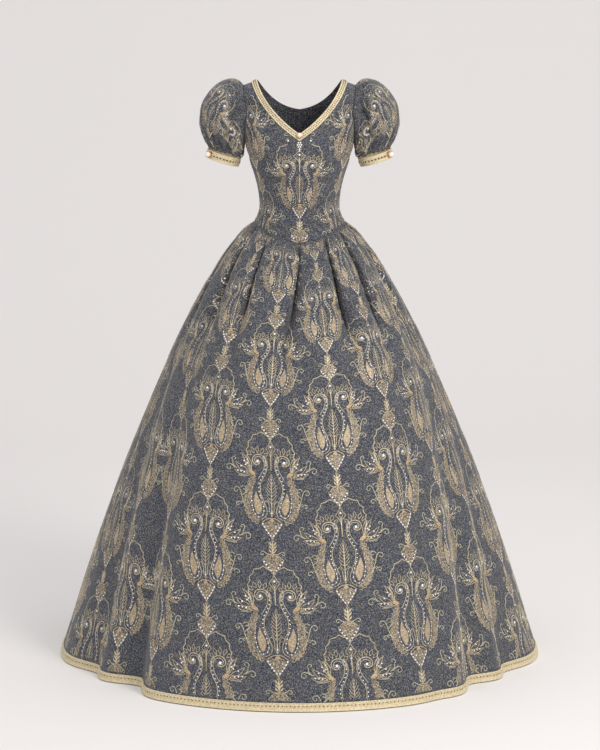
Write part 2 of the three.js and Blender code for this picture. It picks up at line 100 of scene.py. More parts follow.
# Half width, depth in front and behind the side seams, and how square each section is
BODICE = table(
    "z wide front back square",
    (-415, 140, 108, 118, 2.1),
    (-369, 120, 97, 98, 2.1),
    (-345, 109, 90, 88, 2.1),
    (-322, 105.5, 88, 85, 2.1),
    (-280, 110, 97, 89, 2.1),
    (-245, 118.5, 109, 95, 2.15),
    (-215, 128, 118, 99, 2.2),
    (-190, 134, 120, 101, 2.3),
    (-165, 141, 116, 101, 2.4),
    (-130, 150, 107, 99, 2.5),
    (-100, 156, 97, 95, 2.6),
    (-60, 158, 84, 88, 2.6),
    (10, 158, 84, 88, 2.6),
)
# Lowest point of each neckline, and the place that its curve is drawn towards
FRONT_NECK = {"point": -124, "pull_x": 80, "pull_z": -71}
BACK_NECK = {"point": -82, "pull_x": 74, "pull_z": -72}
ARMHOLE_DEEP = {-1: 54, 1: 58}  # half depth of the armhole in front and behind

# The skirt's outline: how far out it is towards the hem's radius at a share of the way down
BELL = table(
    "down out",
    (0, 0),
    (0.02, 0.058),
    (0.045, 0.105),
    (0.08, 0.163),
    (0.145, 0.251),
    (0.25, 0.375),
    (0.39, 0.513),
    (0.55, 0.659),
    (0.74, 0.813),
    (1, 1),
)

# The bottom of each pleat: its angle from the centre front at the waist, halfway and hem, its depth
# at 1, 4, 12, 30, 60 and 100 % of the way down, and the widths of its near and far sides in degrees
FOLDS = table(
    "waist half hem d1 d4 d12 d30 d60 d100 near far",
    (-163, -162, -161, 10, 26, 31, 12, 20, 34, 6, 7),
    (-138, -135, -133, 11, 32, 36, 10, 13, 22, 6, 7),
    (-114, -107, -104, 9, 25, 31, 14, 26, 44, 5, 9),
    (-90, -71, -64, 10, 26, 31, 12, 24, 46, 5, 8),
    (-65, -53, -47, 11, 35, 42, 16, 42, 72, 6, 9),
    (-38, -33, -31, 11, 38, 39, 7, 0, 0, 5, 5),
    (-1, -13, -10, 12, 41, 50, 12, 0, 0, 7, 5.5),
    (28.5, 28, 24, 12, 39, 50, 13, 0, 0, 7, 5.5),
    (53, 44, 35, 10, 32, 31, 12, 9, 11, 5, 5),
    (84, 62, 50, 11, 33, 36, 17, 34, 62, 6, 8),
    (104, 77, 65, 9, 23, 28, 12, 23, 45, 5, 8),
    (122, 106, 102, 10, 29, 35, 14, 25, 40, 6, 9),
    (141, 134, 131, 11, 26, 31, 9, 14, 24, 6, 7),
    (162, 163, 163, 9, 28, 34, 13, 19, 30, 6, 7),
)
FOLD_LEVELS = np.array([0, 0.012, 0.04, 0.12, 0.3, 0.6, 1])  # where the depths hold, after 0 at the waist
SIDE_SEAM_RIGHT = -47
BACK_SEAM_RIGHT = -104
SIDE_SEAM_LEFT = 50
BACK_SEAM_LEFT = 102
CENTRE_BACK = 180
SKIRT_PANELS = {
    "front": (SIDE_SEAM_RIGHT, SIDE_SEAM_LEFT),
    "side_left": (SIDE_SEAM_LEFT, BACK_SEAM_LEFT),
    "back_left": (BACK_SEAM_LEFT, CENTRE_BACK),
    "back_right": (-CENTRE_BACK, BACK_SEAM_RIGHT),
    "side_right": (BACK_SEAM_RIGHT, SIDE_SEAM_RIGHT),
}

# The left sleeve's outer and underarm edges and its half depth, along the way to the cuff
SLEEVE = table(
    "along out_x out_z under_x under_z deep",
    (0, 147, -8, 141, -165, 56),
    (0.06, 158, 4, 142.5, -167, 63),
    (0.15, 176, 9, 143, -170, 72),
    (0.28, 206, 1, 143, -175, 80),
    (0.43, 237, -26, 143, -181, 85),
    (0.6, 259, -67, 143.5, -187, 84),
    (0.77, 264, -109, 145, -193, 76),
    (0.9, 254, -146, 148, -197.5, 61),
    (1, 238, -174, 154, -200, 44),
)
ARMHOLE_CLEAR = 1.3  # from the armhole's edge out to the sleeve's
SLEEVE_HEAD_BLEND = 0.2  # share of its length over which the sleeve leaves the armhole's shape
CUFF_TILT = 73 * DEG
BAND_LENGTH = 22.5
BAND_RADIUS = 45.5


def shoulder_top(x):
    return SHOULDER_ARM_Z + SHOULDER_SLOPE * (SHOULDER_ARM_X - x)


def bodice_depth(side, x, z):
    """Depth at a height, rolling to nothing at the shoulder seam. side is -1 in front."""
    deep = follow(BODICE, "z", "front" if side < 0 else "back", np.minimum(z, SHOULDER_ROLL_Z))
    up = np.clip((z - SHOULDER_ROLL_Z) / (shoulder_top(x) - SHOULDER_ROLL_Z), 0, 1)
    return deep * np.sqrt(1 - up * up)


def bodice_point(side, angle, z):
    """Point at an angle from the centre front or back, which is below zero on the wearer's right."""
    z = np.asarray(z, float) + 0 * angle
    power = 2 / follow(BODICE, "z", "square", z)
    turn = np.clip(np.abs(angle), 0, math.pi / 2)
    x = follow(BODICE, "z", "wide", z) * np.sin(turn) ** power
    y = side * bodice_depth(side, x, z) * np.cos(turn) ** power
    return np.stack((np.sign(angle) * x, y, z), -1)


def angle_at_x(x, z):
    share = np.clip(x / follow(BODICE, "z", "wide", z), 0, 1)
    return np.arcsin(share ** (follow(BODICE, "z", "square", z) / 2))


def angle_at_depth(side, depth, z):
    share = np.clip(depth / np.maximum(bodice_depth(side, SHOULDER_ARM_X, z), 1e-9), 0, 1)
    return np.arccos(share ** (follow(BODICE, "z", "square", z) / 2))


def waist_z(angle):
    """Height of the waist seam, level behind and dipping to a point at the centre front."""
    dip = np.where(np.cos(angle) > 0, 1 - np.abs(np.sin(angle)) ** BASQUE_SHARPNESS, 0)
    return SIDE_WAIST_Z - BASQUE_DROP * dip


def neck_edges(neck, share):
    """The neckline at a share of the way up to the shoulder, and the braid's outer edge beside it."""
    top = shoulder_top(SHOULDER_NECK_X)
    keep = 1 - share
    x = 2 * keep * share * neck["pull_x"] + share**2 * SHOULDER_NECK_X
    z = keep**2 * neck["point"] + 2 * keep * share * neck["pull_z"] + share**2 * top
    run_x = 2 * keep * neck["pull_x"] + 2 * share * (SHOULDER_NECK_X - neck["pull_x"])
    run_z = 2 * keep * (neck["pull_z"] - neck["point"]) + 2 * share * (top - neck["pull_z"])
    run = np.hypot(run_x, run_z)
    outer_x = x + NECK_BRAID_WIDTH * run_z / run
    outer_z = z - NECK_BRAID_WIDTH * run_x / run
    mitre = z - NECK_BRAID_WIDTH * run / run_x
    return x, z, np.where(share == 0, 0, outer_x), np.where(share == 0, mitre, outer_z)


def fold_angles(down):
    """Angle of each fold at each height, a row for each fold between the two centre backs."""
    down = np.asarray(down, float).ravel()[None, :]
    early = 2 * (1 - down) * (0.5 - down)
    middle = 4 * down * (1 - down)
    late = 2 * down * (down - 0.5)
    now = early * FOLDS["waist"][:, None] + middle * FOLDS["half"][:, None]
    now = now + late * FOLDS["hem"][:, None]
    edge = np.full((1, now.shape[1]), float(CENTRE_BACK))
    return np.concatenate((-edge, now, edge))


def angle_round(named, down):
    """Angle, in radians, of the line named by its angle at the hem."""
    posts = np.concatenate(([-CENTRE_BACK], FOLDS["hem"], [CENTRE_BACK]))
    flat = follow_posts(posts, fold_angles(down), np.ravel(named))
    return flat.reshape(np.shape(named)) * DEG


PLEAT_END = 0.34  # share of the way down by which the waist pleats have opened into soft folds
PLEAT_NEAR = 0.34  # width of a pleat's near side at the waist, as a share of its width lower down
PLEAT_FAR = 0.05  # the same for its far side
NEAR_OPENS = 0.03  # share of the way down where a pleat's near side starts to widen
FAR_OPENS = 0.1
PLEAT_CUSP = 1.25  # how round a pleat's bottom is: at 1 it is a crease, at 2 a soft valley
SOFT_CUSP = 1.9
TUCK = 8  # millimetres by which a pleat's far side laps over its bottom
TUCK_DEPTH = 25  # depth near the waist of a pleat that laps by just that much
TUCK_EDGE = 0.35  # degrees, on the lines' names, over which the far side's edge rises
TUCK_FADE = 4  # degrees over which it sinks back


def fold_form(named, down):
    """How far the skirt lies inside its bell, and how far its pleats lap over towards the centre."""
    depth = np.zeros_like(named)
    lap = np.zeros_like(named)
    near_opened = smoothstep(NEAR_OPENS, PLEAT_END, down)
    far_opened = smoothstep(FAR_OPENS, PLEAT_END, down)
    cusp = PLEAT_CUSP + (SOFT_CUSP - PLEAT_CUSP) * near_opened
    tucked = TUCK * np.minimum(1, down / FOLD_LEVELS[2]) * (1 - far_opened)
    for i, hem in enumerate(FOLDS["hem"]):
        levels = np.array([0] + [FOLDS[c][i] for c in ("d1", "d4", "d12", "d30", "d60", "d100")])
        away = (named - hem) * np.sign(hem)
        near = FOLDS["near"][i] * (PLEAT_NEAR + (1 - PLEAT_NEAR) * near_opened)
        far = FOLDS["far"][i] * (PLEAT_FAR + (1 - PLEAT_FAR) * far_opened)
        deep = follow({"level": FOLD_LEVELS, "deep": levels}, "level", "deep", down)
        depth += deep * np.exp(-np.abs(away / np.where(away < 0, near, far)) ** cusp)
        beyond = np.maximum(away, 0)
        edge = 1 - np.exp(-((beyond / TUCK_EDGE) ** 2))
        lap -= np.sign(hem) * tucked * levels[2] / TUCK_DEPTH * edge * np.exp(-beyond / TUCK_FADE)
    return depth, lap


def skirt_point(named, down):
    """Point of the skirt on a named line, at a share of the way from the waist to the hem."""
    named, down = np.broadcast_arrays(np.asarray(named, float), np.asarray(down, float))
    angle = angle_round(named, down)
    turn = np.arccos(np.abs(np.cos(angle)))
    top_z = waist_z(angle) - SEAM_GAP
    front = bodice_point(-1, turn, top_z)
    back = bodice_point(1, turn, top_z)
    top = np.where((np.cos(angle) > 0)[..., None], front, back)
    out = follow(BELL, "down", "out", down)
    depth, lap = fold_form(named, down)
    sine = np.sin(angle)
    cosine = np.cos(angle)
    x = (1 - out) * top[..., 0] * np.sign(angle) + out * HEM_RADIUS * sine - depth * sine + lap * cosine
    y = (1 - out) * top[..., 1] - out * HEM_RADIUS * cosine + depth * cosine + lap * sine
    return np.stack((x, y, top_z + (HEM_Z - top_z) * down), -1)


def armhole_point(turn):
    """The armhole's edge. Turn 0 is the top of the shoulder, a quarter turn the front."""
    z = ARMPIT_Z + (SHOULDER_ARM_Z - ARMPIT_Z) * (1 + np.cos(turn)) / 2
    points = []
    for side in (-1, 1):
        depth = ARMHOLE_DEEP[side] * np.abs(np.sin(turn))
        at_top = z > SHOULDER_ARM_Z - 1e-6
        angle = np.where(at_top, angle_at_x(SHOULDER_ARM_X, z), angle_at_depth(side, depth, z))
        power = 2 / follow(BODICE, "z", "square", z)
        x = follow(BODICE, "z", "wide", z) * np.sin(angle) ** power
        points.append(np.stack((x, side * depth, z), -1))
    return np.where((np.sin(turn) > 0)[..., None], points[0], points[1])


def sleeve_section(share, turn):
    outward = (1 + np.cos(turn)) / 2
    columns = ("out_x", "out_z", "under_x", "under_z", "deep")
    out_x, out_z, under_x, under_z, deep = (follow(SLEEVE, "along", c, share) for c in columns)
    x = under_x + (out_x - under_x) * outward
    return np.stack((x, -deep * np.sin(turn), under_z + (out_z - under_z) * outward), -1)


# Creases of the left sleeve: where each starts and ends, as a share of the way to the cuff and an
# angle from the top towards the front, its depth at the start, middle and end, and its width in degrees
CREASES = table(
    "share turn end_share end_turn deep_start deep_middle deep_end width",
    (0, 10, 0.16, 12, 9, 6, 0, 5),
    (0, 30, 0.24, 36, 12, 8, 0, 6),
    (0, 47, 0.3, 56, 13, 9, 0, 6),
    (0.02, 62, 0.36, 76, 14, 9, 0, 6),
    (0.05, 80, 0.5, 104, 26, 24, 0, 11),
    (0.06, 104, 1, 114, 10, 17, 16, 9),
    (0.1, 138, 1, 140, 2, 6, 5, 24),
    (0.4, 150, 1, 154, 0, 6, 12, 8),
    (0.42, 14, 1, 16, 0, 8, 14, 9),
    (0.5, 36, 1, 40, 0, 10, 15, 8),
    (0.4, 60, 1, 63, 0, 11, 17, 9),
    (0.58, 79, 1, 82, 0, 11, 16, 7),
    (0.46, 98, 1, 99, 0, 12, 17, 8),
    (0, -22, 0.22, -27, 10, 7, 0, 5),
    (0, -40, 0.34, -50, 12, 9, 0, 6),
    (0, -64, 0.5, -86, 18, 16, 0, 9),
    (0, -96, 1, -106, 14, 20, 17, 9),
    (0.1, -128, 1, -136, 9, 14, 14, 10),
    (0.2, -156, 1, -160, 4, 8, 12, 8),
    (0.55, -12, 1, -14, 0, 8, 14, 7),
    (0.66, -36, 1, -40, 0, 9, 15, 6),
    (0.48, -58, 1, -63, 0, 10, 16, 7),
    (0.64, -80, 1, -83, 0, 9, 16, 6),
)
CREASE_CUSP = 1.4  # how round a crease's bottom is, as with the pleats
CREASE_END = 0.05  # share of the sleeve's length over which a crease starts or ends
HEAD_FLAT = 0.07  # share of the sleeve's length by which the creases are at their full depth
CUFF_START = 0.93  # share of the sleeve's length from which the band gathers it
CUFF_KEEPS = 0.45  # share of a crease's depth that is left inside the band


def crease_depth(share, turn):
    """How far the sleeve's creases are sunk in it."""
    depth = np.zeros(share.shape)
    for i, start in enumerate(CREASES["share"]):
        crease = {name: column[i] for name, column in CREASES.items()}
        t = np.clip((share - start) / (crease["end_share"] - start), 0, 1)
        middle = (crease["turn"] + (crease["end_turn"] - crease["turn"]) * t) * DEG
        away = (turn - middle + math.pi) % (2 * math.pi) - math.pi
        deep = crease["deep_start"] * 2 * (1 - t) * (0.5 - t) + crease["deep_middle"] * 4 * t * (1 - t)
        deep = np.maximum(0, deep + crease["deep_end"] * 2 * t * (t - 0.5))
        outside = np.maximum(start - share, share - crease["end_share"])
        deep = deep * np.exp(-((np.maximum(0, outside) / CREASE_END) ** 2))
        depth += deep * np.exp(-np.abs(away / (crease["width"] * DEG)) ** CREASE_CUSP)
    in_band = smoothstep(CUFF_START, 1, share)
    return depth * smoothstep(0, HEAD_FLAT, share) * (1 - (1 - CUFF_KEEPS) * in_band)


def sleeve_point(share, turn):
    """Point of the left sleeve, at a share of the way from the armhole to the cuff."""
    share, turn = np.broadcast_arrays(np.asarray(share, float), np.asarray(turn, float))
    keep = np.maximum(0, 1 - share / SLEEVE_HEAD_BLEND) ** 2
    point = sleeve_section(share, turn)
    point = point + (armhole_point(turn) - sleeve_section(0 * share, turn)) * keep[..., None]
    point[..., 0] += ARMHOLE_CLEAR
    return point


def creased_sleeve(share, turn):
    """Points of the left sleeve with its creases sunk in it. Both are grids, turn falling."""
    smooth = sleeve_point(share, turn)
    normals = grid_normals(smooth, closed=True)
    return smooth - normals * crease_depth(share, turn)[..., None]


# Cloth meshes


def grid_normals(points, closed=False):
    """Outward normals of a grid whose rows run down and columns to the right as seen from outside."""
    if closed:
        wide = np.concatenate((points[:, -2:-1], points, points[:, 1:2]), 1)
        across = wide[:, 2:] - wide[:, :-2]
    else:
        across = np.gradient(points, axis=1)
    down = np.gradient(points, axis=0)
    return unit(np.cross(down, across))


class Surface:
    """A fine grid of a piece of cloth as worn, on which meshes and embroidery are laid."""

    def __init__(self, points, uv, closed=False):
        self.points = points
        self.normals = grid_normals(points, closed)
        self.uv = uv

    def at(self, row, column):
        """Points and normals at fractional rows and columns, on the flat quads of the mesh."""
        rows, columns = self.points.shape[:2]
        r = np.clip(row, 0, rows - 1.001)
        c = np.clip(column, 0, columns - 1.001)
        i = r.astype(int)
        j = c.astype(int)
        s = (r - i)[..., None]
        t = (c - j)[..., None]

        def blend(grid):
            upper = grid[i, j] * (1 - t) + grid[i, j + 1] * t
            lower = grid[i + 1, j] * (1 - t) + grid[i + 1, j + 1] * t
            return upper * (1 - s) + lower * s

        return blend(self.points), unit(blend(self.normals))

    def part(self, rows=slice(None), columns=slice(None)):
        """A grid for wall(): some rows and columns of this one."""
        return self.points[rows, columns], self.normals[rows, columns], self.uv[rows, columns], False


MIRROR = (-1, 1, 1)


def mirrored(grid):
    """A wall() grid on the other side of the centre line."""
    points, normals, uv, turned = grid
    return points * MIRROR, normals * MIRROR, uv * (-1, 1), not turned


def grid_quads(ids, turned=False):
    """The corners of each cell of a grid of vertex numbers, in the other order if turned."""
    corners = (ids[:-1, :-1], ids[1:, :-1], ids[1:, 1:], ids[:-1, 1:])
    return np.stack(corners[::-1] if turned else corners, -1).reshape(-1, 4)


def stacked(listed):
    """Sets of arrays as one set, each array joined to those in its place in the other sets."""
    return [np.concatenate(arrays) for arrays in zip(*listed)]


def wall(name, grids, inner, outer):
    """The closed wall between two distances out from one or more grids, which share their edges."""
    points, normals, uv = stacked([[a.reshape(-1, a.shape[-1]) for a in g[:3]] for g in grids])
    quads = []
    start = 0
    for grid in grids:
        rows, columns = grid[0].shape[:2]
        ids = start + np.arange(rows * columns).reshape(rows, columns)
        quads.append(grid_quads(ids, grid[3]))
        start += rows * columns
    # Points nearer than a hundredth of a millimetre are one
    _, first, merged = np.unique(np.round(points, 2), axis=0, return_index=True, return_inverse=True)
    points, normals, uv = points[first], normals[first], uv[first]
    quads = merged.ravel()[np.concatenate(quads)]
    count = len(points)
    edges = np.concatenate([quads[:, [k, (k + 1) % 4]] for k in range(4)])
    edges = edges[edges[:, 0] != edges[:, 1]]
    codes = edges[:, 0] * count + edges[:, 1]
    alone = ~np.isin(codes, edges[:, 1] * count + edges[:, 0])
    rim = edges[alone]
    rim_quads = np.column_stack((rim[:, 1], rim[:, 0], rim[:, 0] + count, rim[:, 1] + count))
    faces = np.concatenate((quads, quads[:, ::-1] + count, rim_quads))
    vertices = np.concatenate((points + normals * outer, points + normals * inner))
    return mesh_object(name, vertices, faces, np.concatenate((uv, uv)))


SHARP_EDGE = 60 * DEG  # faces that turn by more than this meet in a sharp edge


def bare_mesh(name, vertices, faces, edges=()):
    mesh = bpy.data.meshes.new(name)
    mesh.from_pydata(vertices, edges, faces)
    return mesh


def place_object(name, data):
    made = bpy.data.objects.new(name, data)
    bpy.context.scene.collection.objects.link(made)
    return made


def mesh_object(name, vertices, faces, uv=None):
    """A mesh piece from millimetres. uv is in metres along the cloth, one pair for each vertex."""
    listed = faces.tolist()
    if (faces == np.roll(faces, -1, axis=1)).any():
        listed = [list(dict.fromkeys(f)) for f in listed]
        listed = [f for f in listed if len(f) > 2]
    mesh = bare_mesh(name, (vertices * MM).tolist(), listed)
    if uv is not None:
        corners = np.zeros(len(mesh.loops), int)
        mesh.loops.foreach_get("vertex_index", corners)
        layer = mesh.uv_layers.new(name="cloth")
        layer.uv.foreach_set("vector", uv[corners].astype(np.float32).ravel())
    mesh.shade_smooth()
    mesh.set_sharp_from_angle(angle=SHARP_EDGE)
    return place_object(name, mesh)


# The skirt's, bodice's and sleeves' surfaces

SKIRT_STEP = 1.5  # degrees from one line of the skirt's grid to the next, away from the folds
FOLD_STEPS = np.array((-4, -3, -2.25, -1.5, -1, -0.5, 0, 0.5, 1, 2.25, 3.5))  # and near each fold
WAIST_PART = 0.1  # share of the way down whose rows lie closer
WAIST_ROWS = 16
MAIN_ROWS = 60
HEM_ROWS = 4
BRAID_TOP = 1 - HEM_BRAID_WIDTH / (SIDE_WAIST_Z - HEM_Z)


def skirt_surface():
    near_waist = np.linspace(0, WAIST_PART, WAIST_ROWS, endpoint=False)
    main = np.linspace(WAIST_PART, BRAID_TOP, MAIN_ROWS, endpoint=False)
    down = np.concatenate((near_waist, main, np.linspace(BRAID_TOP, 1, HEM_ROWS)))
    plain = np.arange(-CENTRE_BACK, CENTRE_BACK + SKIRT_STEP / 2, SKIRT_STEP)
    seams = [edge for panel in SKIRT_PANELS.values() for edge in panel]
    named = np.unique(np.concatenate((plain, seams, np.ravel(FOLDS["hem"][:, None] + FOLD_STEPS))))
    lines, levels = np.meshgrid(named, down)
    points = skirt_point(lines, levels)
    length = np.linalg.norm(np.diff(points, axis=0), axis=-1).mean(1).cumsum()
    length = np.concatenate(([0], length))
    uv = np.stack((lines * DEG * HEM_RADIUS * MM, 0 * lines - length[:, None] * MM), -1)
    made = Surface(points, uv, closed=True)
    made.down = down
    made.named = named
    made.azimuth = np.array([angle_round(named, level) for level in down]) / DEG
    return made


NECK_EASE = 0.87  # how much sooner the bodice's rows rise at the neckline than at the armhole
ROW_EASE = 1.3  # how the chest's rows crowd at its foot and at the shoulder
CHEST_ROWS = 26
STRIP_COLUMNS = 4
BODICE_COLUMNS = 26
BODICE_ROWS = 30
CHEST_RADIUS = 125  # by which angles become lengths of cloth
FACING_TURN = 0.02  # radians to either side of a point for finding which way the cloth faces
FACING_RISE = 1.5  # and millimetres above and below it


def bodice_grid(side, angle, z, top_row=False):
    """A wall() grid of one half of the front or back, on the wearer's left."""
    flat = np.clip(angle, 0, math.pi / 2)
    points = bodice_point(side, flat, z)
    edge = flat > math.pi / 2 - 1e-3
    points[..., 1] = np.where(edge, side * SEAM_GAP / 2, points[..., 1])
    safe = np.clip(angle, 1e-3, math.pi / 2 - 1e-3)
    across = bodice_point(side, np.minimum(safe + FACING_TURN, math.pi / 2 - 1e-4), z)
    across = across - bodice_point(side, np.maximum(safe - FACING_TURN, 1e-4), z)
    down = bodice_point(side, safe, z - FACING_RISE) - bodice_point(side, safe, z + FACING_RISE)
    normals = unit(np.cross(across, down) * side)
    normals[..., 0] = np.where(points[..., 0] < 1e-6, 0, normals[..., 0])
    if top_row:
        points[-1, :, 1] = side * SEAM_GAP / 2
        points[-1, :, 2] = shoulder_top(points[-1, :, 0])
        normals[-1] = (SHOULDER_SLOPE, 0, 1)
    uv = np.stack((angle * CHEST_RADIUS * MM, z * MM), -1)
    return points, unit(normals), uv, side < 0


def bodice_half(side, neck):
    """The strip under the neck braid, the chest, and the part below the armhole."""
    share = np.sin(np.linspace(0, math.pi / 2, CHEST_ROWS + 1)) ** ROW_EASE
    x, z, outer_x, outer_z = neck_edges(neck, share**NECK_EASE)
    top = shoulder_top(outer_x)
    outer_z = np.append(np.minimum(outer_z, top - 2)[:-1], top[-1])
    turn = math.pi * share
    arm_z = ARMPIT_Z + (SHOULDER_ARM_Z - ARMPIT_Z) * (1 - np.cos(turn)) / 2
    # The back reaches as far out as the front, a little way under the sleeve's head
    arm_angle = angle_at_depth(side, ARMHOLE_DEEP[-1] * np.sin(turn), arm_z)
    arm_angle[0] = math.pi / 2
    arm_angle[-1] = angle_at_x(SHOULDER_ARM_X, SHOULDER_ARM_Z)
    neck_angle = angle_at_x(x, z)
    inner_angle = angle_at_x(outer_x, outer_z)
    s = np.linspace(0, 1, STRIP_COLUMNS + 1)
    strip_angle = neck_angle[:, None] + (inner_angle - neck_angle)[:, None] * s
    strip_z = z[:, None] + (outer_z - z)[:, None] * s
    strip = bodice_grid(side, strip_angle, strip_z, True)
    s = np.linspace(0, 1, BODICE_COLUMNS + 1)
    chest_angle = inner_angle[:, None] + (arm_angle - inner_angle)[:, None] * s
    chest_z = outer_z[:, None] + (arm_z - outer_z)[:, None] * s
    chest = bodice_grid(side, chest_angle, chest_z, True)
    angle = s * math.pi / 2
    start = outer_z[0] + (ARMPIT_Z - outer_z[0]) * s
    bottom = waist_z(angle) if side < 0 else SIDE_WAIST_Z + 0 * angle
    r = np.linspace(0, 1, BODICE_ROWS + 1)[:, None]
    body = bodice_grid(side, angle + 0 * r, start + (bottom - start) * r)
    body = (*body[:3], not body[3])
    return strip, chest, body


SLEEVE_ROWS = 48
SLEEVE_COLUMNS = 120
SLEEVE_RADIUS = 85  # by which turns become lengths of cloth
SLEEVE_CLOTH = 240  # length of the cloth from armhole to cuff


def sleeve_surface():
    """The left sleeve, from underarm round the front and back to the underarm."""
    share = np.linspace(0, 1, SLEEVE_ROWS + 1)
    turn = np.linspace(math.pi, -math.pi, SLEEVE_COLUMNS + 1)
    turns, shares = np.meshgrid(turn, share)
    points = creased_sleeve(shares, turns)
    uv = np.stack((-turns * SLEEVE_RADIUS * MM, -shares * SLEEVE_CLOTH * MM), -1)
    return Surface(points, uv, closed=True)


# The woven and embroidered motif: a double boteh under a scalloped canopy, drawn in millimetres.
# x is the distance to the right of its axis and y the distance down from the canopy's top.

REPEAT = 334
COLUMN_SPACING = 160
TIP_Y = 261  # the shield's lower tip, by which a motif is placed
BOLD = 1.25  # lines and stones are drawn a little over life, so that they show from afar
PATH_COARSE = 1.9  # how much longer the steps are than asked, to keep the lines light
CURL_EYE = 0.2  # radius of a curl's eye, as a share of its outer radius
CURL_STEP = 5.6  # millimetres from point to point of a curl


def smooth_path(points, step):
    """A smooth line through given points, with a point every few steps."""
    step = step * PATH_COARSE
    p = np.array(points, float)
    if len(p) == 2:
        count = max(2, math.ceil(np.linalg.norm(p[1] - p[0]) / step) + 1)
        return p[0] + (p[1] - p[0]) * np.linspace(0, 1, count)[:, None]
    ends = np.concatenate(([2 * p[0] - p[1]], p, [2 * p[-1] - p[-2]]))
    pieces = []
    for i in range(len(p) - 1):
        a, b, c, d = ends[i : i + 4]
        count = max(1, math.ceil(np.linalg.norm(c - b) / step))
        t = (np.arange(count) / count)[:, None]
        bend = (2 * b) + (c - a) * t + (2 * a - 5 * b + 4 * c - d) * t**2
        pieces.append((bend + (3 * b - 3 * c + d - a) * t**3) / 2)
    return np.concatenate((*pieces, p[-1:]))


def volute(middle, radius, start, turns):
    """A curl round its middle, from its outer end at the start angle in to a small eye."""
    length = abs(turns) * 2 * math.pi * radius * (1 + CURL_EYE) / 2
    t = np.linspace(0, 1, max(6, math.ceil(length / CURL_STEP)) + 1)
    angle = (start + 360 * turns * t) * DEG
    reach = radius * (1 - (1 - CURL_EYE) * t)
    return np.array(middle) + np.stack((np.cos(angle), np.sin(angle)), -1) * reach[:, None]


def walked(path):
    """Distance along a path at each of its points."""
    return np.concatenate(([0], np.linalg.norm(np.diff(path, axis=0), axis=1).cumsum()))


def pick(path, length, at):
    """Points of a path at distances along it, where length holds that of each of its points."""
    return np.stack([np.interp(at, length, column) for column in path.T], -1)


def scalloped(path, count, bulge):
    """The same path as a row of small arcs, each standing out by the bulge on its left side."""
    length = walked(path)
    points = pick(path, length, np.linspace(0, length[-1], count * 2 + 1))
    run = unit(np.gradient(points, axis=0))
    out = np.arange(count * 2 + 1) % 2 * bulge
    return points + run[:, ::-1] * (1, -1) * out[:, None]


class Motif:
    """The lines, fills and stones of one motif. With both, each is drawn again across the axis."""

    def __init__(self):
        self.lines = {}
        self.fills = {}
        self.stones = []

    def line(self, thread, width, path, both=True):
        for flip in (1, -1) if both else (1,):
            self.lines.setdefault(thread, []).append((path * (flip, 1), width * BOLD / 2))

    def curve(self, thread, width, step, *points):
        """A line of thread through given points."""
        self.line(thread, width, smooth_path(points, step))

    def curl(self, thread, width, *shape):
        self.line(thread, width, volute(*shape))

    def fill(self, thread, spine, widths, both=True):
        """A leaf shape along a spine, its width given at equal steps along it."""
        spot = np.linspace(0, 1, len(spine))
        half = np.interp(spot, np.linspace(0, 1, len(widths)), widths) / 2
        for flip in (1, -1) if both else (1,):
            self.fills.setdefault(thread, []).append((spine * (flip, 1), half))

    def leaf(self, thread, step, widths, *points, both=True):
        """A leaf shape whose spine runs through given points."""
        self.fill(thread, smooth_path(points, step), widths, both)

    def stone(self, x, y, size, both=True):
        for flip in (1, -1) if both else (1,):
            self.stones.append((x * flip, y, size * BOLD))

    def stones_along(self, path, step, size):
        length = walked(path)
        for x, y in pick(path, length, np.linspace(0, length[-1], max(2, round(length[-1] / step) + 1))):
            self.stone(x, y, size)

    def leaf_outline(self, thread, width, base, tip, broad, bend=0, step=6.5, both=True):
        """The outline of a pointed leaf, from its base to its tip and back."""
        base, tip = np.array(base, float), np.array(tip, float)
        side = unit(tip - base)[::-1] * (1, -1)
        middle = smooth_path([base, (base + tip) / 2 + side * bend, tip], step)
        t = np.linspace(0, 1, len(middle))
        bow = (np.sin(t**0.8 * math.pi) * broad / 2)[:, None]
        closed = np.concatenate((middle + side * bow, (middle - side * bow)[::-1]))
        self.line(thread, width, closed, both)


def draw_canopy(motif):
    """Two scalloped arches over the motif, from the notch on its axis out to the buds."""
    edge = ((0, 17), (4, 9), (13, 3), (24, 1), (35, 4), (45, 13))
    edge += ((52, 27), (56, 42), (57, 58), (54, 76), (47, 93))
    motif.line("gold", 2.8, scalloped(smooth_path(edge, 3), 7, 4))


def draw_heads(motif):
    """The curled heads of the botehs: a spiral round a stone, with a crown of small teeth."""
    middle = np.array((33, 70))
    motif.curl("gold", 3.1, middle, 22, 150, 1.1)
    motif.curl("pale", 2.2, middle, 15.5, 175, 0.8)
    motif.stone(*middle, 6)
    for angle in (-20, 40, 110):
        toward = np.array((math.cos(angle * DEG), math.sin(angle * DEG)))
        motif.line("pale", 1.6, np.array((middle + toward * 3, middle + toward * 8.5)))
    rays = ((-140, 13), (-114, 17), (-90, 18), (-66, 17), (-42, 15), (-16, 13), (12, 12), (40, 11))
    for angle, reach in rays:
        toward = np.array((math.cos(angle * DEG), math.sin(angle * DEG)))
        base = middle + toward * 20
        motif.leaf_outline("gold", 1.9, base, base + toward * reach, 8.5, step=5)
    neck = smooth_path(((13, 60), (9.5, 75), (11, 90), (18, 108), (25, 122), (27, 138), (24, 156)), 4)
    motif.line("gold", 2.3, neck)
    motif.stones_along(neck + (3.4, 0), 10, 2.7)
    motif.curve("pale", 2, 4, (20, 58), (16.5, 74), (18, 88), (25, 103), (32, 114))


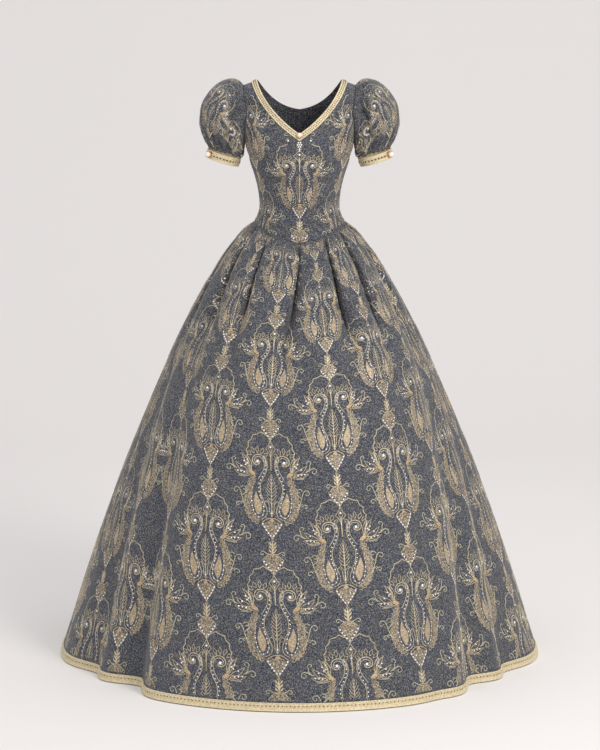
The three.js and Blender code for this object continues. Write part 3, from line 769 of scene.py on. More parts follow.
def draw_crest(motif):
    """The small pointed lozenge and stem between the heads."""
    motif.curve("gold", 2, 4, (0, 17), (-6, 30), (-12, 38), (-5, 47), (0, 58))
    motif.curve("gold", 1.6, 4, (0, 27), (5, 36), (0, 50))
    motif.leaf("gold", 10, (0.6, 2.6, 2, 1), (0, 40), (0, 92), both=False)
    motif.stone(0, 33, 4.4, both=False)


def draw_buds(motif):
    """Orange-gold buds at the shoulders, with their fans of petals and a curling tendril."""
    motif.leaf("amber", 3, (3, 9, 10, 5), (39, 104), (47, 99), (54, 97))
    petals = (
        ((50, 94), (60, 56), 8, 3),
        ((53, 94), (72, 54), 9, 4),
        ((55, 97), (88, 76), 11, -4),
        ((55, 102), (91, 97), 11, -3),
        ((52, 106), (80, 110), 7, 2),
    )
    for base, tip, broad, bend in petals:
        motif.leaf_outline("gold", 2, base, tip, broad, bend)
    for x, y in ((58, 68), (59, 77), (66, 72), (63, 81), (66, 100), (74, 99), (82, 98), (74, 86)):
        motif.stone(x, y, 3.2)
    motif.curve("sage", 2.7, 4, (84, 92), (91, 90), (97, 85), (104, 83))
    motif.curl("sage", 2.5, (104, 92), 9.5, -90, 0.9)
    motif.curl("sage", 2.4, (91, 69), 8, 60, -0.9)
    motif.curve("sage", 2.3, 4, (89, 90), (95, 82), (95, 76))


def draw_botehs(motif):
    """The bodies: scalloped outside, beaded within, round a solid teardrop."""
    edge = ((44, 104), (51, 119), (57, 137), (61, 156), (62, 175), (59, 193), (52, 208), (42, 219), (30, 224))
    outline = smooth_path(edge, 3)
    motif.line("gold", 2.4, scalloped(outline, 14, 4.2))
    inwards = np.interp(outline[:, 1], (104, 150, 224), (4, 7.5, 1))
    band = outline - np.stack((inwards, 0 * inwards), -1)
    band[:, 1] -= np.interp(band[:, 1], (185, 222), (0, 6))
    motif.fill("taupe", band, (5, 12, 15, 15.5, 15, 14, 9))
    motif.stones_along(band[2:-1], 11, 3.3)
    inner = ((38, 118), (46, 138), (48, 160), (46, 180), (42, 197))
    inner += ((33, 209), (23, 206), (18, 194), (22, 172), (28, 150))
    ring = smooth_path(inner, 4)
    motif.line("pale", 1.5, ring)
    motif.stones_along(ring[3:-2], 11, 2.8)
    motif.curve("gold", 2, 4, (24, 156), (15, 178), (11, 194), (15, 208), (26, 215))
    drop = smooth_path(((37, 146), (36, 165), (32, 182), (31, 203)), 4)
    motif.fill("bronze", drop, (0.8, 6, 11, 15.5, 18, 18, 13, 3))


def draw_tree(motif):
    """The leafy stem between the botehs, and the two small arches at its foot."""
    motif.leaf("gold", 12, (0.8, 2, 1.6, 2, 1.6, 2, 1.6), (0, 104), (0, 206), both=False)
    motif.leaf_outline("gold", 1.4, (0, 118), (0, 100), 7, both=False)
    for y, reach in ((119, 7), (127, 9), (135, 10.5), (143, 11.5), (151, 12), (160, 11.5), (170, 10)):
        motif.line("gold", 1.9, np.array(((1, y + 5), (reach * 0.7, y - 1), (reach, y - 8))))
    motif.curve("gold", 2, 3.5, (5, 196), (6, 178), (11, 168), (17, 172), (17, 181))
    motif.curve("gold", 1.5, 3.5, (0, 190), (4, 198), (0, 208))
    motif.stone(0, 198, 3.6, both=False)


def draw_shield(motif):
    """The shield under the botehs, edged with stones, its tip on a leafy chain."""
    motif.leaf("taupe", 5, (24, 40, 37, 29, 20, 12, 6, 1), (0, 219), (0, 258), both=False)
    motif.leaf("amber", 4, (4, 12, 13, 6), (0, 212), (0, 229), both=False)
    motif.curve("gold", 2.4, 4, (0, 211), (9, 212), (17, 217), (23, 224), (16, 236), (8, 248), (0, 261))
    edge = smooth_path(((21, 226), (14, 239), (7, 250), (0, 258)), 4)
    motif.stones_along(edge[:-1], 8, 3.8)
    motif.stone(9, 231, 3.6)
    motif.stone(0, 239, 4.4, both=False)
    motif.stone(0, 249, 3.8, both=False)


def draw_chain(motif):
    """The leafy chain from the shield to the next palmette, and the palmette with its curls."""
    motif.leaf_outline("gold", 1.6, (0, 261), (0, 296), 9, both=False)
    motif.leaf("gold", 6, (1, 3.5, 5, 4, 2), (0, 266), (0, 298), both=False)
    for y in (274, 283, 292):
        motif.leaf("gold", 3, (1.6, 3.4, 1), (2, y + 4), (6, y), (8.5, y - 5))
    motif.curve("sage", 2.4, 4, (5, 302), (13, 299), (20, 294))
    motif.curl("sage", 2.3, (23, 299), 6.5, -120, 0.85)
    motif.leaf("taupe", 5, (10, 30, 42, 40, 30, 20, 13, 6, 1), (0, 300), (0, 346), both=False)
    motif.leaf("amber", 4, (4, 11, 12, 6), (0, 297), (0, 314), both=False)
    rim = ((4, 299), (11, 302), (16, 308), (23, 315), (19, 324), (11, 335), (0, 350))
    motif.line("gold", 2, scalloped(smooth_path(rim, 4), 7, 1.2))
    edge = smooth_path(((20, 319), (14, 328), (7, 338), (0, 346)), 4)
    motif.stones_along(edge, 7.6, 3.6)
    motif.stone(8, 322, 3.4)
    motif.stone(0, 330, 4.2, both=False)


def draw_scrolls(motif):
    """Thin C-scrolls between one motif and the next."""
    motif.curve("sage", 2.6, 4, (60, 190), (66, 176), (71, 160), (75, 146), (80, 139))
    motif.curl("sage", 2.5, (84, 147), 9, -120, 0.9)
    motif.curl("sage", 2.4, (66, 141), 8, -10, -0.9)
    motif.curl("sage", 2.6, (79, 181), 8, 190, 0.95)
    motif.curve("sage", 2.3, 4, (62, 184), (67, 176), (73, 173))
    motif.curve("sage", 2.3, 4, (70, 158), (64, 152), (59, 144))


def make_motif():
    motif = Motif()
    for draw in (
        draw_canopy,
        draw_heads,
        draw_crest,
        draw_buds,
        draw_botehs,
        draw_tree,
        draw_shield,
        draw_chain,
        draw_scrolls,
    ):
        draw(motif)
    return motif


MOTIF = make_motif()


# Where the motifs lie

COLUMNS_ROUND = 24

# Height of the motifs' tips on the skirt. v counts repeats, and odd columns lie half a repeat lower
TIP_HEIGHTS = table(
    "v down",
    (-1.2, -0.08),
    (-0.78, 0),
    (-0.5, 0.04),
    (0, 0.13),
    (0.5, 0.235),
    (1, 0.35),
    (1.5, 0.488),
    (2, 0.63),
    (2.5, 0.775),
    (3, 0.925),
    (4.2, 1.29),
)
# How far the columns spread at the waist, where the pleats take in the cloth of the front
SPREAD = table(
    "angle more",
    (0, 0),
    (7.5, 5.3),
    (22.5, 16.5),
    (37.5, 23),
    (52.5, 25),
    (67.5, 22),
    (100, 13),
    (180, 0),
)
SPREAD_LEFT = table(
    "down share", (0, 1.1), (0.25, 0.97), (0.36, 0.86), (0.5, 0.62), (0.65, 0.5), (0.8, 0.33), (1, 0.22)
)
SHIFT = table("down degrees", (0, -0.8), (0.3, 0.2), (0.6, 2.2), (1, 4.3))
AZIMUTH_STEP = 0.25
RIGHT_SEAM_COLUMN = -2  # the panels past this column are half a repeat lower than the front
LAST_REPEAT = 4.2
TIP_REPEATS = np.linspace(-1.2, LAST_REPEAT, 217)
TIP_CURVE = follow(TIP_HEIGHTS, "v", "down", TIP_REPEATS)
WAIST_MARGIN = 0.004  # share of the way down that is left free of stitching at the waist
BRAID_MARGIN = 0.001


def column_angle(column):
    """Where a column would lie if all were evenly spaced, in degrees from the centre front."""
    return (360 / COLUMNS_ROUND * (column - 0.5) + 180) % 360 - 180


class SkirtMap:
    """From columns and repeats of the pattern to rows and columns of the skirt's grid."""

    def __init__(self, surface):
        self.surface = surface
        self.azimuths = np.arange(-CENTRE_BACK, CENTRE_BACK + AZIMUTH_STEP / 2, AZIMUTH_STEP)
        lines = np.arange(len(surface.named), dtype=float)
        self.column_at = np.array([np.interp(self.azimuths, a, lines) for a in surface.azimuth])

    def at(self, column, repeat):
        """Points and normals, and which of them lie on the cloth between waist and braid."""
        down = np.interp(repeat, TIP_REPEATS, TIP_CURVE)
        base = column_angle(column)
        more = follow(SPREAD, "angle", "more", np.abs(base)) * np.sign(base)
        azimuth = base + more * follow(SPREAD_LEFT, "down", "share", np.clip(down, 0, 1))
        azimuth = azimuth + follow(SHIFT, "down", "degrees", np.clip(down, 0, 1))
        azimuth = (azimuth + 180) % 360 - 180
        row = np.interp(down, self.surface.down, np.arange(len(self.surface.down)))
        spot = (azimuth + 180) / AZIMUTH_STEP
        i = np.clip(row.astype(int), 0, len(self.surface.down) - 2)
        j = np.clip(spot.astype(int), 0, len(self.azimuths) - 2)
        s = row - i
        t = spot - j
        upper = self.column_at[i, j] * (1 - t) + self.column_at[i, j + 1] * t
        lower = self.column_at[i + 1, j] * (1 - t) + self.column_at[i + 1, j + 1] * t
        points, normals = self.surface.at(row, upper * (1 - s) + lower * s)
        return points, normals, (down > WAIST_MARGIN) & (down < BRAID_TOP - BRAID_MARGIN)


BODICE_COLUMN_ANGLE = 62  # from one column to the next, counted from the centre front or back
BODICE_REPEAT = 252
BODICE_TIP_Z = -349  # of the centre column's motif
NECK_CLEAR_X = 26  # no stitching lies round the drop of stones under the neck pearl
NECK_CLEAR_Z = -160
STRAP_CLEAR_Z = -24  # nor above this height, on the shoulders
SIDE_CLEAR = 88 * DEG  # nor past this angle, on the side seams
SEAM_CLEAR = 1
ARMHOLE_FREE = 2


class BodiceMap:
    """From columns and repeats of the pattern to the bodice's front, where side is -1, or back."""

    def __init__(self, side, hand=0):
        self.side = side
        self.hand = hand

    def at(self, column, repeat):
        angle = column * BODICE_COLUMN_ANGLE * DEG
        z = BODICE_TIP_Z - repeat * BODICE_REPEAT
        step = 0.01
        points = bodice_point(self.side, angle, z)
        across = bodice_point(self.side, angle + step, z) - bodice_point(self.side, angle - step, z)
        down = bodice_point(self.side, angle, z - 1) - bodice_point(self.side, angle, z + 1)
        neck = FRONT_NECK if self.side < 0 else BACK_NECK
        edge = neck_edges(neck, np.linspace(0, 1, 60))
        below_neck = z < np.interp(np.abs(points[..., 0]), edge[2], edge[3]) - SEAM_CLEAR
        floor = waist_z(angle) if self.side < 0 else SIDE_WAIST_Z
        round_arm = np.abs((z - (ARMPIT_Z + SHOULDER_ARM_Z) / 2) / ((SHOULDER_ARM_Z - ARMPIT_Z) / 2))
        reach = ARMHOLE_DEEP[self.side] * np.sqrt(np.clip(1 - round_arm**2, 0, 1))
        clear = (np.abs(points[..., 1]) > reach + ARMHOLE_FREE) | (z < ARMPIT_Z - ARMHOLE_FREE)
        keep = below_neck & clear & (z > floor + SEAM_CLEAR) & (z < STRAP_CLEAR_Z)
        keep &= np.abs(angle) < SIDE_CLEAR
        if self.side < 0:
            keep &= (np.abs(points[..., 0]) > NECK_CLEAR_X) | (z < NECK_CLEAR_Z)
        if self.hand:
            keep &= points[..., 0] * self.hand > 0.5
        return points, unit(np.cross(across, down) * self.side), keep


SLEEVE_COLUMNS_ROUND = 5
SLEEVE_REPEAT = 205
SLEEVE_LENGTH = 215
SLEEVE_TIP = 0.86  # share of the way to the cuff of the first repeat's tips
SLEEVE_FIRST = 0.36  # share of the way round of the first column
SLEEVE_HEAD_FREE = 0.05
SLEEVE_CUFF_FREE = 0.97


class SleeveMap:
    """From columns and repeats of the pattern to the left sleeve's grid."""

    def __init__(self, surface, hand):
        self.surface = surface
        self.hand = hand

    def at(self, column, repeat):
        share = SLEEVE_TIP + repeat * SLEEVE_REPEAT / SLEEVE_LENGTH
        turn = (column / SLEEVE_COLUMNS_ROUND + SLEEVE_FIRST) % 1
        row = share * SLEEVE_ROWS
        points, normals = self.surface.at(row, turn * SLEEVE_COLUMNS)
        if self.hand == "right":
            points, normals = points * MIRROR, normals * MIRROR
        return points, normals, (share > SLEEVE_HEAD_FREE) & (share < SLEEVE_CUFF_FREE)


# Embroidery on the cloth

LINE_SINK = 0.4  # how far a line's foot lies in the cloth
FILL_LIFT = 0.35  # of a fill's edge over the cloth
FILL_CROWN = 0.9  # and of its middle over its edge, from a half width of FILL_BROAD on
FILL_BROAD = 4
FILL_DEEP = 1.2  # from a fill's top to its underside, in the cloth
SQUEEZE_STEP = 3  # millimetres to either side of a point for measuring how the cloth is drawn in
LEAST_LINE = 0.55  # share of its full width down to which a line or stone shrinks with the motif
LEAST_ROOM = 0.22  # stones lie only where the cloth keeps this share of its flat width
SEAM_MARGIN = 9  # millimetres of the flat motif between a stone and a seam


class Stitching:
    """Collects lines, fills and stones laid on cloth, and makes a mesh piece of each thread."""

    def __init__(self):
        self.lines = {}
        self.fills = {}
        self.stones = []

    def lay(self, motif, where, column, repeat):
        """Lays a motif with its tip at a column and repeat."""

        def spot(path):
            return where.at(column + path[..., 0] / COLUMN_SPACING, repeat + (path[..., 1] - TIP_Y) / REPEAT)

        def squeeze(path):
            """How much the cloth is drawn in across the motif at points of a path."""
            left = spot(path - (SQUEEZE_STEP, 0))[0]
            right = spot(path + (SQUEEZE_STEP, 0))[0]
            return np.linalg.norm(right - left, axis=-1) / (2 * SQUEEZE_STEP)

        for thread, listed in motif.lines.items():
            paths = np.concatenate([path for path, half in listed])
            halves = np.concatenate([np.full(len(path), half) for path, half in listed])
            joined = np.concatenate([[True] * (len(path) - 1) + [False] for path, half in listed])
            points, normals, keep = spot(paths)
            halves = halves * np.clip(squeeze(paths), LEAST_LINE, 1)
            joined[:-1] &= keep[1:]
            joined &= keep
            if joined.any():
                self.lines.setdefault(thread, []).append((points, normals, halves, joined))
        for thread, listed in motif.fills.items():
            for spine, half in listed:
                run = unit(np.gradient(spine, axis=0))
                side = run[:, ::-1] * (-1, 1)
                offsets = np.array((-1, 0, 1))
                grid = spine[:, None] + side[:, None] * (half[:, None] * offsets)[..., None]
                points, normals, keep = spot(grid)
                rows = np.flatnonzero(keep.all(1))
                if len(rows) > 2 and rows[-1] - rows[0] == len(rows) - 1:
                    rise = FILL_CROWN * (1 - offsets**2) * np.minimum(half, FILL_BROAD)[:, None] / FILL_BROAD
                    raised = points + normals * (FILL_LIFT + rise)[..., None]
                    self.fills.setdefault(thread, []).append((raised[rows], normals[rows]))
        if motif.stones:
            stones = np.array(motif.stones)
            points, normals, keep = spot(stones[:, :2])
            drawn_in = squeeze(stones[:, :2])
            keep &= drawn_in > LEAST_ROOM
            for shift in ((0, SEAM_MARGIN), (0, -SEAM_MARGIN)):
                keep &= spot(stones[:, :2] + shift)[2]
            sizes = stones[:, 2] * np.clip(drawn_in, LEAST_LINE, 1)
            self.stones.append((points[keep], normals[keep], sizes[keep]))

    def pieces(self, region, materials):
        """The finished mesh pieces, by name."""
        made = []
        for thread, listed in self.lines.items():
            made.append(thread_lines(f"{region}_{thread}_lines", *stacked(listed), materials[thread]))
        for thread, listed in self.fills.items():
            made.append(satin_fills(f"{region}_{thread}_fills", listed, materials[thread]))
        made.append(scatter(f"{region}_stones", *stacked(self.stones), stone_shape, materials["crystal"]))
        return made


def satin_fills(name, listed, material):
    """Closed, slightly crowned leaves of satin stitch, lying on the cloth."""
    vertices = []
    faces = []
    start = 0
    for raised, normals in listed:
        rows, columns = raised.shape[:2]
        ids = start + np.arange(rows * columns).reshape(rows, columns)
        under = ids + rows * columns
        vertices += [raised.reshape(-1, 3), (raised - normals * FILL_DEEP).reshape(-1, 3)]
        faces += [grid_quads(ids), grid_quads(under, True)]
        loop = np.concatenate((ids[:-1, 0], ids[-1, :-1], ids[:0:-1, -1], ids[0, :0:-1]))
        after = np.roll(loop, -1)
        faces.append(np.column_stack((after, loop, loop + rows * columns, after + rows * columns)))
        start += 2 * rows * columns
    vertices = np.concatenate(vertices)
    faces = np.concatenate(faces)
    a, b, c = (vertices[faces[0][k]] for k in range(3))
    if np.dot(np.cross(b - a, c - a), listed[0][1][0, 0]) < 0:
        faces = faces[:, ::-1]
    made = mesh_object(name, vertices, faces)
    made.data.materials.append(material)
    return made


# Geometry Nodes


def add_node(tree, kind, inputs=None, **settings):
    """Adds a node with its settings. An input that is a socket is linked, and any other is a value."""
    made = tree.nodes.new(kind)
    for key, value in settings.items():
        setattr(made, key, value)
    for key, value in (inputs or {}).items():
        if isinstance(value, bpy.types.NodeSocket):
            tree.links.new(value, made.inputs[key])
        else:
            made.inputs[key].default_value = value
    return made


def geometry_tree(name, *inputs):
    """A node tree that takes and gives geometry, with named inputs, each a name and a kind."""
    tree = bpy.data.node_groups.new(name, "GeometryNodeTree")
    tree.interface.new_socket("Geometry", in_out="INPUT", socket_type="NodeSocketGeometry")
    tree.interface.new_socket("Geometry", in_out="OUTPUT", socket_type="NodeSocketGeometry")
    for title, kind in inputs:
        tree.interface.new_socket(title, in_out="INPUT", socket_type=kind)
    return tree, tree.nodes.new("NodeGroupInput"), tree.nodes.new("NodeGroupOutput")


def attribute(tree, name, kind="FLOAT_VECTOR"):
    """The socket that gives an attribute of the source's points."""
    return add_node(tree, "GeometryNodeInputNamedAttribute", {"Name": name}, data_type=kind).outputs[0]


def give_back(tree, given, result, geometry):
    """Ends a tree: it gives back geometry made real, in the finish that it was given."""
    real = add_node(tree, "GeometryNodeRealizeInstances", {0: geometry})
    finish = {"Geometry": real.outputs[0], "Material": given.outputs["Finish"]}
    painted = add_node(tree, "GeometryNodeSetMaterial", finish)
    tree.links.new(painted.outputs[0], result.inputs[0])
    return tree


def grown(source, tree, values, name):
    """The plain mesh that a tree makes of a source, which is then removed."""
    modifier = source.modifiers.new("grow", "NODES")
    modifier.node_group = tree
    for item in tree.interface.items_tree:
        if item.in_out == "INPUT" and item.name in values:
            modifier[item.identifier] = values[item.name]
    depsgraph = bpy.context.evaluated_depsgraph_get()
    mesh = bpy.data.meshes.new_from_object(source.evaluated_get(depsgraph), depsgraph=depsgraph)
    source.modifiers.remove(modifier)
    bpy.data.objects.remove(source)
    mesh.name = name
    return place_object(name, mesh)


def point_source(points, edges, **attributes):
    """A bare mesh of points, in millimetres, with an attribute of each name."""
    mesh = bare_mesh("source", (points * MM).tolist(), [], edges)
    for name, value in attributes.items():
        vector = np.ndim(value) == 2
        layer = mesh.attributes.new(name, "FLOAT_VECTOR" if vector else "FLOAT", "POINT")
        layer.data.foreach_set("vector" if vector else "value", np.ravel(value).astype(np.float32))
    return place_object("source", mesh)


LINE_HEIGHT = 0.55  # a line stands one and a half times as high, as a share of its half width
LINE_SPREAD = 1.15  # makes the three-sided section as wide as the line
TREES = {}


def line_tree():
    """Couched thread: a low three-sided cord along each line, as wide as the line says."""
    sockets = (("Height", "NodeSocketFloat"), ("Finish", "NodeSocketMaterial"))
    tree, given, result = geometry_tree("couched thread", *sockets)
    curve = add_node(tree, "GeometryNodeMeshToCurve", {"Mesh": given.outputs["Geometry"]})
    facing = {0: curve.outputs[0], "Normal": attribute(tree, "facing")}
    turned = add_node(tree, "GeometryNodeSetCurveNormal", facing, mode="FREE")
    height = given.outputs["Height"]
    profile = add_node(tree, "GeometryNodeCurvePrimitiveCircle", {"Resolution": 3, "Radius": 1.0})
    shape = add_node(tree, "ShaderNodeCombineXYZ", {"X": height, "Y": LINE_SPREAD, "Z": 1.0})
    middle = add_node(tree, "ShaderNodeMath", {0: height, 1: 0.5}, operation="MULTIPLY")
    lift = add_node(tree, "ShaderNodeCombineXYZ", {"X": middle.outputs[0]})
    placed = {"Geometry": profile.outputs[0], "Scale": shape.outputs[0], "Translation": lift.outputs[0]}
    section = add_node(tree, "GeometryNodeTransform", placed)
    swept = {
        "Curve": turned.outputs[0],
        "Profile Curve": section.outputs[0],
        "Scale": attribute(tree, "half_width", "FLOAT"),
        "Fill Caps": True,
    }
    cord = add_node(tree, "GeometryNodeCurveToMesh", swept)
    return give_back(tree, given, result, cord.outputs[0])


def thread_lines(name, points, normals, halves, joined, material):
    """Thread laid through points, each joined to the next where joined says so."""
    if "line" not in TREES:
        TREES["line"] = line_tree()
    starts = np.flatnonzero(joined)
    used, edges = np.unique(np.column_stack((starts, starts + 1)), return_inverse=True)
    source = point_source(
        points[used] - normals[used] * LINE_SINK,
        edges.reshape(-1, 2).tolist(),
        facing=normals[used],
        half_width=halves[used] * MM,
    )
    return grown(source, TREES["line"], {"Height": LINE_HEIGHT, "Finish": material}, name)


def scatter_tree(shape):
    """One small shape on each point, standing on it and as large as the point says."""
    tree, given, result = geometry_tree("set " + shape.name, ("Finish", "NodeSocketMaterial"))
    facing = {"Vector": attribute(tree, "facing")}
    upright = add_node(tree, "FunctionNodeAlignRotationToVector", facing, axis="Z")
    along = {"Rotation": upright.outputs[0], "Vector": attribute(tree, "along")}
    turn = add_node(tree, "FunctionNodeAlignRotationToVector", along, axis="X", pivot_axis="Z")
    single = add_node(tree, "GeometryNodeObjectInfo", {"Object": shape})
    spread = {
        "Points": given.outputs["Geometry"],
        "Instance": single.outputs["Geometry"],
        "Rotation": turn.outputs[0],
        "Scale": attribute(tree, "size", "FLOAT"),
    }
    placed = add_node(tree, "GeometryNodeInstanceOnPoints", spread)
    return give_back(tree, given, result, placed.outputs[0])


SHAPES_TURN = (0.3, 0.2, 1)  # each shape is turned so that its own x axis is square to this


def scatter(name, points, normals, sizes, make_shape, material):
    """A small shape, made by make_shape one unit across, at each point."""
    key = make_shape.__name__
    if key not in TREES:
        TREES[key] = scatter_tree(make_shape())
    along = np.cross(normals, SHAPES_TURN)
    source = point_source(points, [], facing=normals, size=sizes * MM, along=along)
    return grown(source, TREES[key], {"Finish": material}, name)


HELPERS = []


def small_shape(name, vertices, faces, smooth=False):
    mesh = bare_mesh(name, vertices, faces)
    if smooth:
        mesh.shade_smooth()
    made = bpy.data.objects.new(name, mesh)
    HELPERS.append(made)
    return made


def round_points(count, reach, level):
    """Points of a level ring."""
    turns = [2 * math.pi * a / count for a in range(count)]
    return [(reach * math.cos(t), reach * math.sin(t), level) for t in turns]


def stone_shape():
    """A rose-cut stone: six facets that rise to a point."""
    faces = [(a, (a + 1) % 6, 6) for a in range(6)]
    vertices = [*round_points(6, 0.5, 0.05), (0, 0, 0.34)]
    return small_shape("stone", vertices, [*faces, tuple(range(5, -1, -1))])


RING_SIDES = 8
RING_ROUND = 4
RING_THICK = 0.2
RING_RISE = 0.3  # how far its middle is over the cloth, as a share of its thickness


def ring_shape():
    """A little ring of cord."""
    vertices = []
    for c, s, _ in round_points(RING_SIDES, 1, 0):
        for near, high, _ in round_points(RING_ROUND, RING_THICK / 2, 0):
            reach = 0.5 - RING_THICK / 2 + near
            vertices.append((c * reach, s * reach, high + RING_THICK * RING_RISE))
    faces = []
    for a in range(RING_SIDES):
        here = a * RING_ROUND
        there = (a + 1) % RING_SIDES * RING_ROUND
        for b in range(RING_ROUND):
            after = (b + 1) % RING_ROUND
            faces.append((here + b, there + b, there + after, here + after))
    return small_shape("ring", vertices, faces, True)


def bead_shape():
    """A small round bead, half sunk."""
    vertices = [(0, 0, 0.5), *round_points(6, 0.4, 0.3), *round_points(6, 0.5, -0.05)]
    faces = [(0, 1 + a, 1 + (a + 1) % 6) for a in range(6)]
    faces += [(1 + a, 7 + a, 7 + (a + 1) % 6, 1 + (a + 1) % 6) for a in range(6)]
    return small_shape("bead", vertices, [*faces, tuple(range(12, 6, -1))], True)


# Materials


def colour(code):
    """An sRGB hex colour as the linear colour that the shaders take."""
    parts = [int(code[i : i + 2], 16) / 255 for i in (1, 3, 5)]
    return (*[p / 12.92 if p <= 0.04045 else ((p + 0.055) / 1.055) ** 2.4 for p in parts], 1)


def new_material(name):
    material = bpy.data.materials.new(name)
    material.use_nodes = True
    return material, material.node_tree, material.node_tree.nodes["Principled BSDF"]


def ramp(tree, factor, *stops):
    """A colour ramp, each stop a place and a hex colour."""
    made = add_node(tree, "ShaderNodeValToRGB", {"Fac": factor})
    while len(made.color_ramp.elements) < len(stops):
        made.color_ramp.elements.new(0.5)
    for element, (place, code) in zip(made.color_ramp.elements, stops):
        element.position = place
        element.color = colour(code)
    return made.outputs["Color"]


def noise_of(tree, scale, **more):
    """Uneven grain. scale is the number of grains in a metre."""
    place = add_node(tree, "ShaderNodeTexCoord").outputs["Object"]
    return add_node(tree, "ShaderNodeTexNoise", {"Vector": place, "Scale": scale, **more}).outputs["Fac"]


def add_bump(tree, shader, height, strength, depth):
    """Relief with a depth in millimetres."""
    made = add_node(tree, "ShaderNodeBump", {"Height": height, "Strength": strength, "Distance": depth * MM})
    tree.links.new(made.outputs[0], shader.inputs["Normal"])


def grained(name, scale, stops, values, detail=2.0, roughness=0.5, relief=None):
    """A finish whose colour and relief follow an uneven grain, with the shader's plain values."""
    material, tree, shader = new_material(name)
    noise = noise_of(tree, scale, Detail=detail, Roughness=roughness)
    tree.links.new(ramp(tree, noise, *stops), shader.inputs["Base Color"])
    if relief:
        add_bump(tree, shader, noise, *relief)
    for key, value in values.items():
        shader.inputs[key].default_value = value
    return material


FLECK = 2.8  # millimetres across a fleck of the heathered yarn, drawn as coarse as shows
YARN = 1.1  # millimetres from one weft yarn to the next, a little coarser than the real one
WAVE_YARNS = 6.3  # yarns in a metre that a wave texture draws at a scale of 1


def heathered_jacquard():
    """Woven wool and metallic jacquard: navy, slate and beige flecks make it read as grey denim."""
    material, tree, shader = new_material("heathered wool jacquard")
    flecks = noise_of(tree, 1 / (FLECK * MM), Detail=3, Roughness=0.7)
    dark = ((0.34, "#10141f"), (0.43, "#303644"), (0.5, "#545965"), (0.57, "#828386"), (0.66, "#c2b9a6"))
    yarns = noise_of(tree, 0.6 / (FLECK * MM))
    tints = ((0.37, "#b8a684"), (0.46, "#b3b2a8"), (0.54, "#b0b8c8"), (0.63, "#93a6d6"))
    # Sockets 6 and 7 take the two colours, and output 2 gives their mix
    colours = {"Factor": 0.7, 6: ramp(tree, flecks, *dark), 7: ramp(tree, yarns, *tints)}
    mixed = add_node(tree, "ShaderNodeMix", colours, data_type="RGBA", blend_type="MULTIPLY")
    tree.links.new(mixed.outputs[2], shader.inputs["Base Color"])
    along = add_node(tree, "ShaderNodeUVMap", uv_map="cloth").outputs["UV"]
    waves = {"Vector": along, "Scale": 1 / (YARN * MM) / WAVE_YARNS, "Distortion": 1.5}
    weft = add_node(tree, "ShaderNodeTexWave", waves, bands_direction="Y").outputs["Fac"]
    height = add_node(tree, "ShaderNodeMath", {0: weft, 1: flecks}, operation="MULTIPLY")
    add_bump(tree, shader, height.outputs[0], 0.6, 0.8)
    shader.inputs["Roughness"].default_value = 0.9
    shader.inputs["Sheen Weight"].default_value = 0.15
    shader.inputs["Sheen Roughness"].default_value = 0.5
    return material


def metallic_thread(name, dark, middle, light, metallic=0.35, grain=2.2):
    """Couched or satin-stitched metallic thread: a soft broken shine between its own three tones."""
    stops = ((0.34, dark), (0.5, middle), (0.66, light))
    values = {"Metallic": metallic, "Roughness": 0.5}
    return grained(name, 1 / (grain * MM), stops, values, roughness=0.6, relief=(0.5, 0.5))


def crystal():
    """Cut glass with a foiled back, clear and faintly pink, its tint changing every 11 mm. It glows faintly
    in its own tint: a painted glow that stands in for light off the foil.
    """
    stops = ((0.4, "#efe3e0"), (0.5, "#fbf7f4"), (0.6, "#e4e8f2"))
    # The emission strength is a painted glow: the stones give off a little light of their own, though they
    # are no lamp
    values = {"Emission Strength": 0.09, "Roughness": 0.12, "IOR": 1.55, "Coat Weight": 0.5}
    material = grained("foiled crystal with painted glow", 90.0, stops, values)
    shader = material.node_tree.nodes["Principled BSDF"]
    tone = shader.inputs["Base Color"].links[0].from_socket
    # The painted glow takes the stone's own tint
    material.node_tree.links.new(tone, shader.inputs["Emission Color"])
    return material


def woven_braid():
    """Metallic braid: pale cream gold, ribbed across, with a soft shine."""
    stops = ((0.33, "#a8956b"), (0.48, "#dac79c"), (0.62, "#f4e8c9"))
    values = {"Metallic": 0.25, "Roughness": 0.5}
    return grained("woven metallic braid", 1 / (1.6 * MM), stops, values, relief=(0.7, 0.6))


def pearl():
    """Nacre: a creamy white with a faint pink bloom under a clear skin."""
    stops = ((0.35, "#f3e2d6"), (0.6, "#fbf3ea"))
    return grained("pearl nacre", 120.0, stops, {"Roughness": 0.2, "Coat Weight": 0.6}, detail=1.0)


def gilt():
    """Polished gilt brass, warm and slightly rosy."""
    stops = ((0.35, "#c08d5c"), (0.65, "#dcae7c"))
    return grained("polished rose gilt", 300.0, stops, {"Metallic": 1.0, "Roughness": 0.25})


def studio_paper():
    """Matt seamless paper, pale and warm."""
    material, _, shader = new_material("seamless studio paper")
    shader.inputs["Base Color"].default_value = colour("#e8e6e5")
    shader.inputs["Roughness"].default_value = 0.95
    return material


def make_materials():
    return {
        "cloth": heathered_jacquard(),
        "gold": metallic_thread("couched gold thread", "#887d63", "#c2b493", "#eadfc6"),
        "pale": metallic_thread("pale metallic thread", "#8c877c", "#c4bcaa", "#ece5d6"),
        "sage": metallic_thread("sage metallic thread", "#817e6a", "#bdb79d", "#e6dfc8"),
        "taupe": metallic_thread("taupe filling stitch", "#3a3636", "#7b7061", "#c4b596", 0.1, 2.8),
        "amber": metallic_thread("amber silk stitch", "#8f7555", "#b79a74", "#d6bf9b", 0.15),
        "bronze": metallic_thread("bronze satin stitch", "#8a7a62", "#a8967a", "#c4b498", 0.15, 5.0),
        "crystal": crystal(),
        "braid": woven_braid(),
        "braid_cord": metallic_thread("cream gold cord", "#b5a37c", "#e3d6b4", "#faf3df", 0.2),
        "braid_dark": metallic_thread("dark bronze stitch", "#2c2418", "#4f412c", "#766443", 0.2),
        "pearl": pearl(),
        "gilt": gilt(),
    }


# The picture

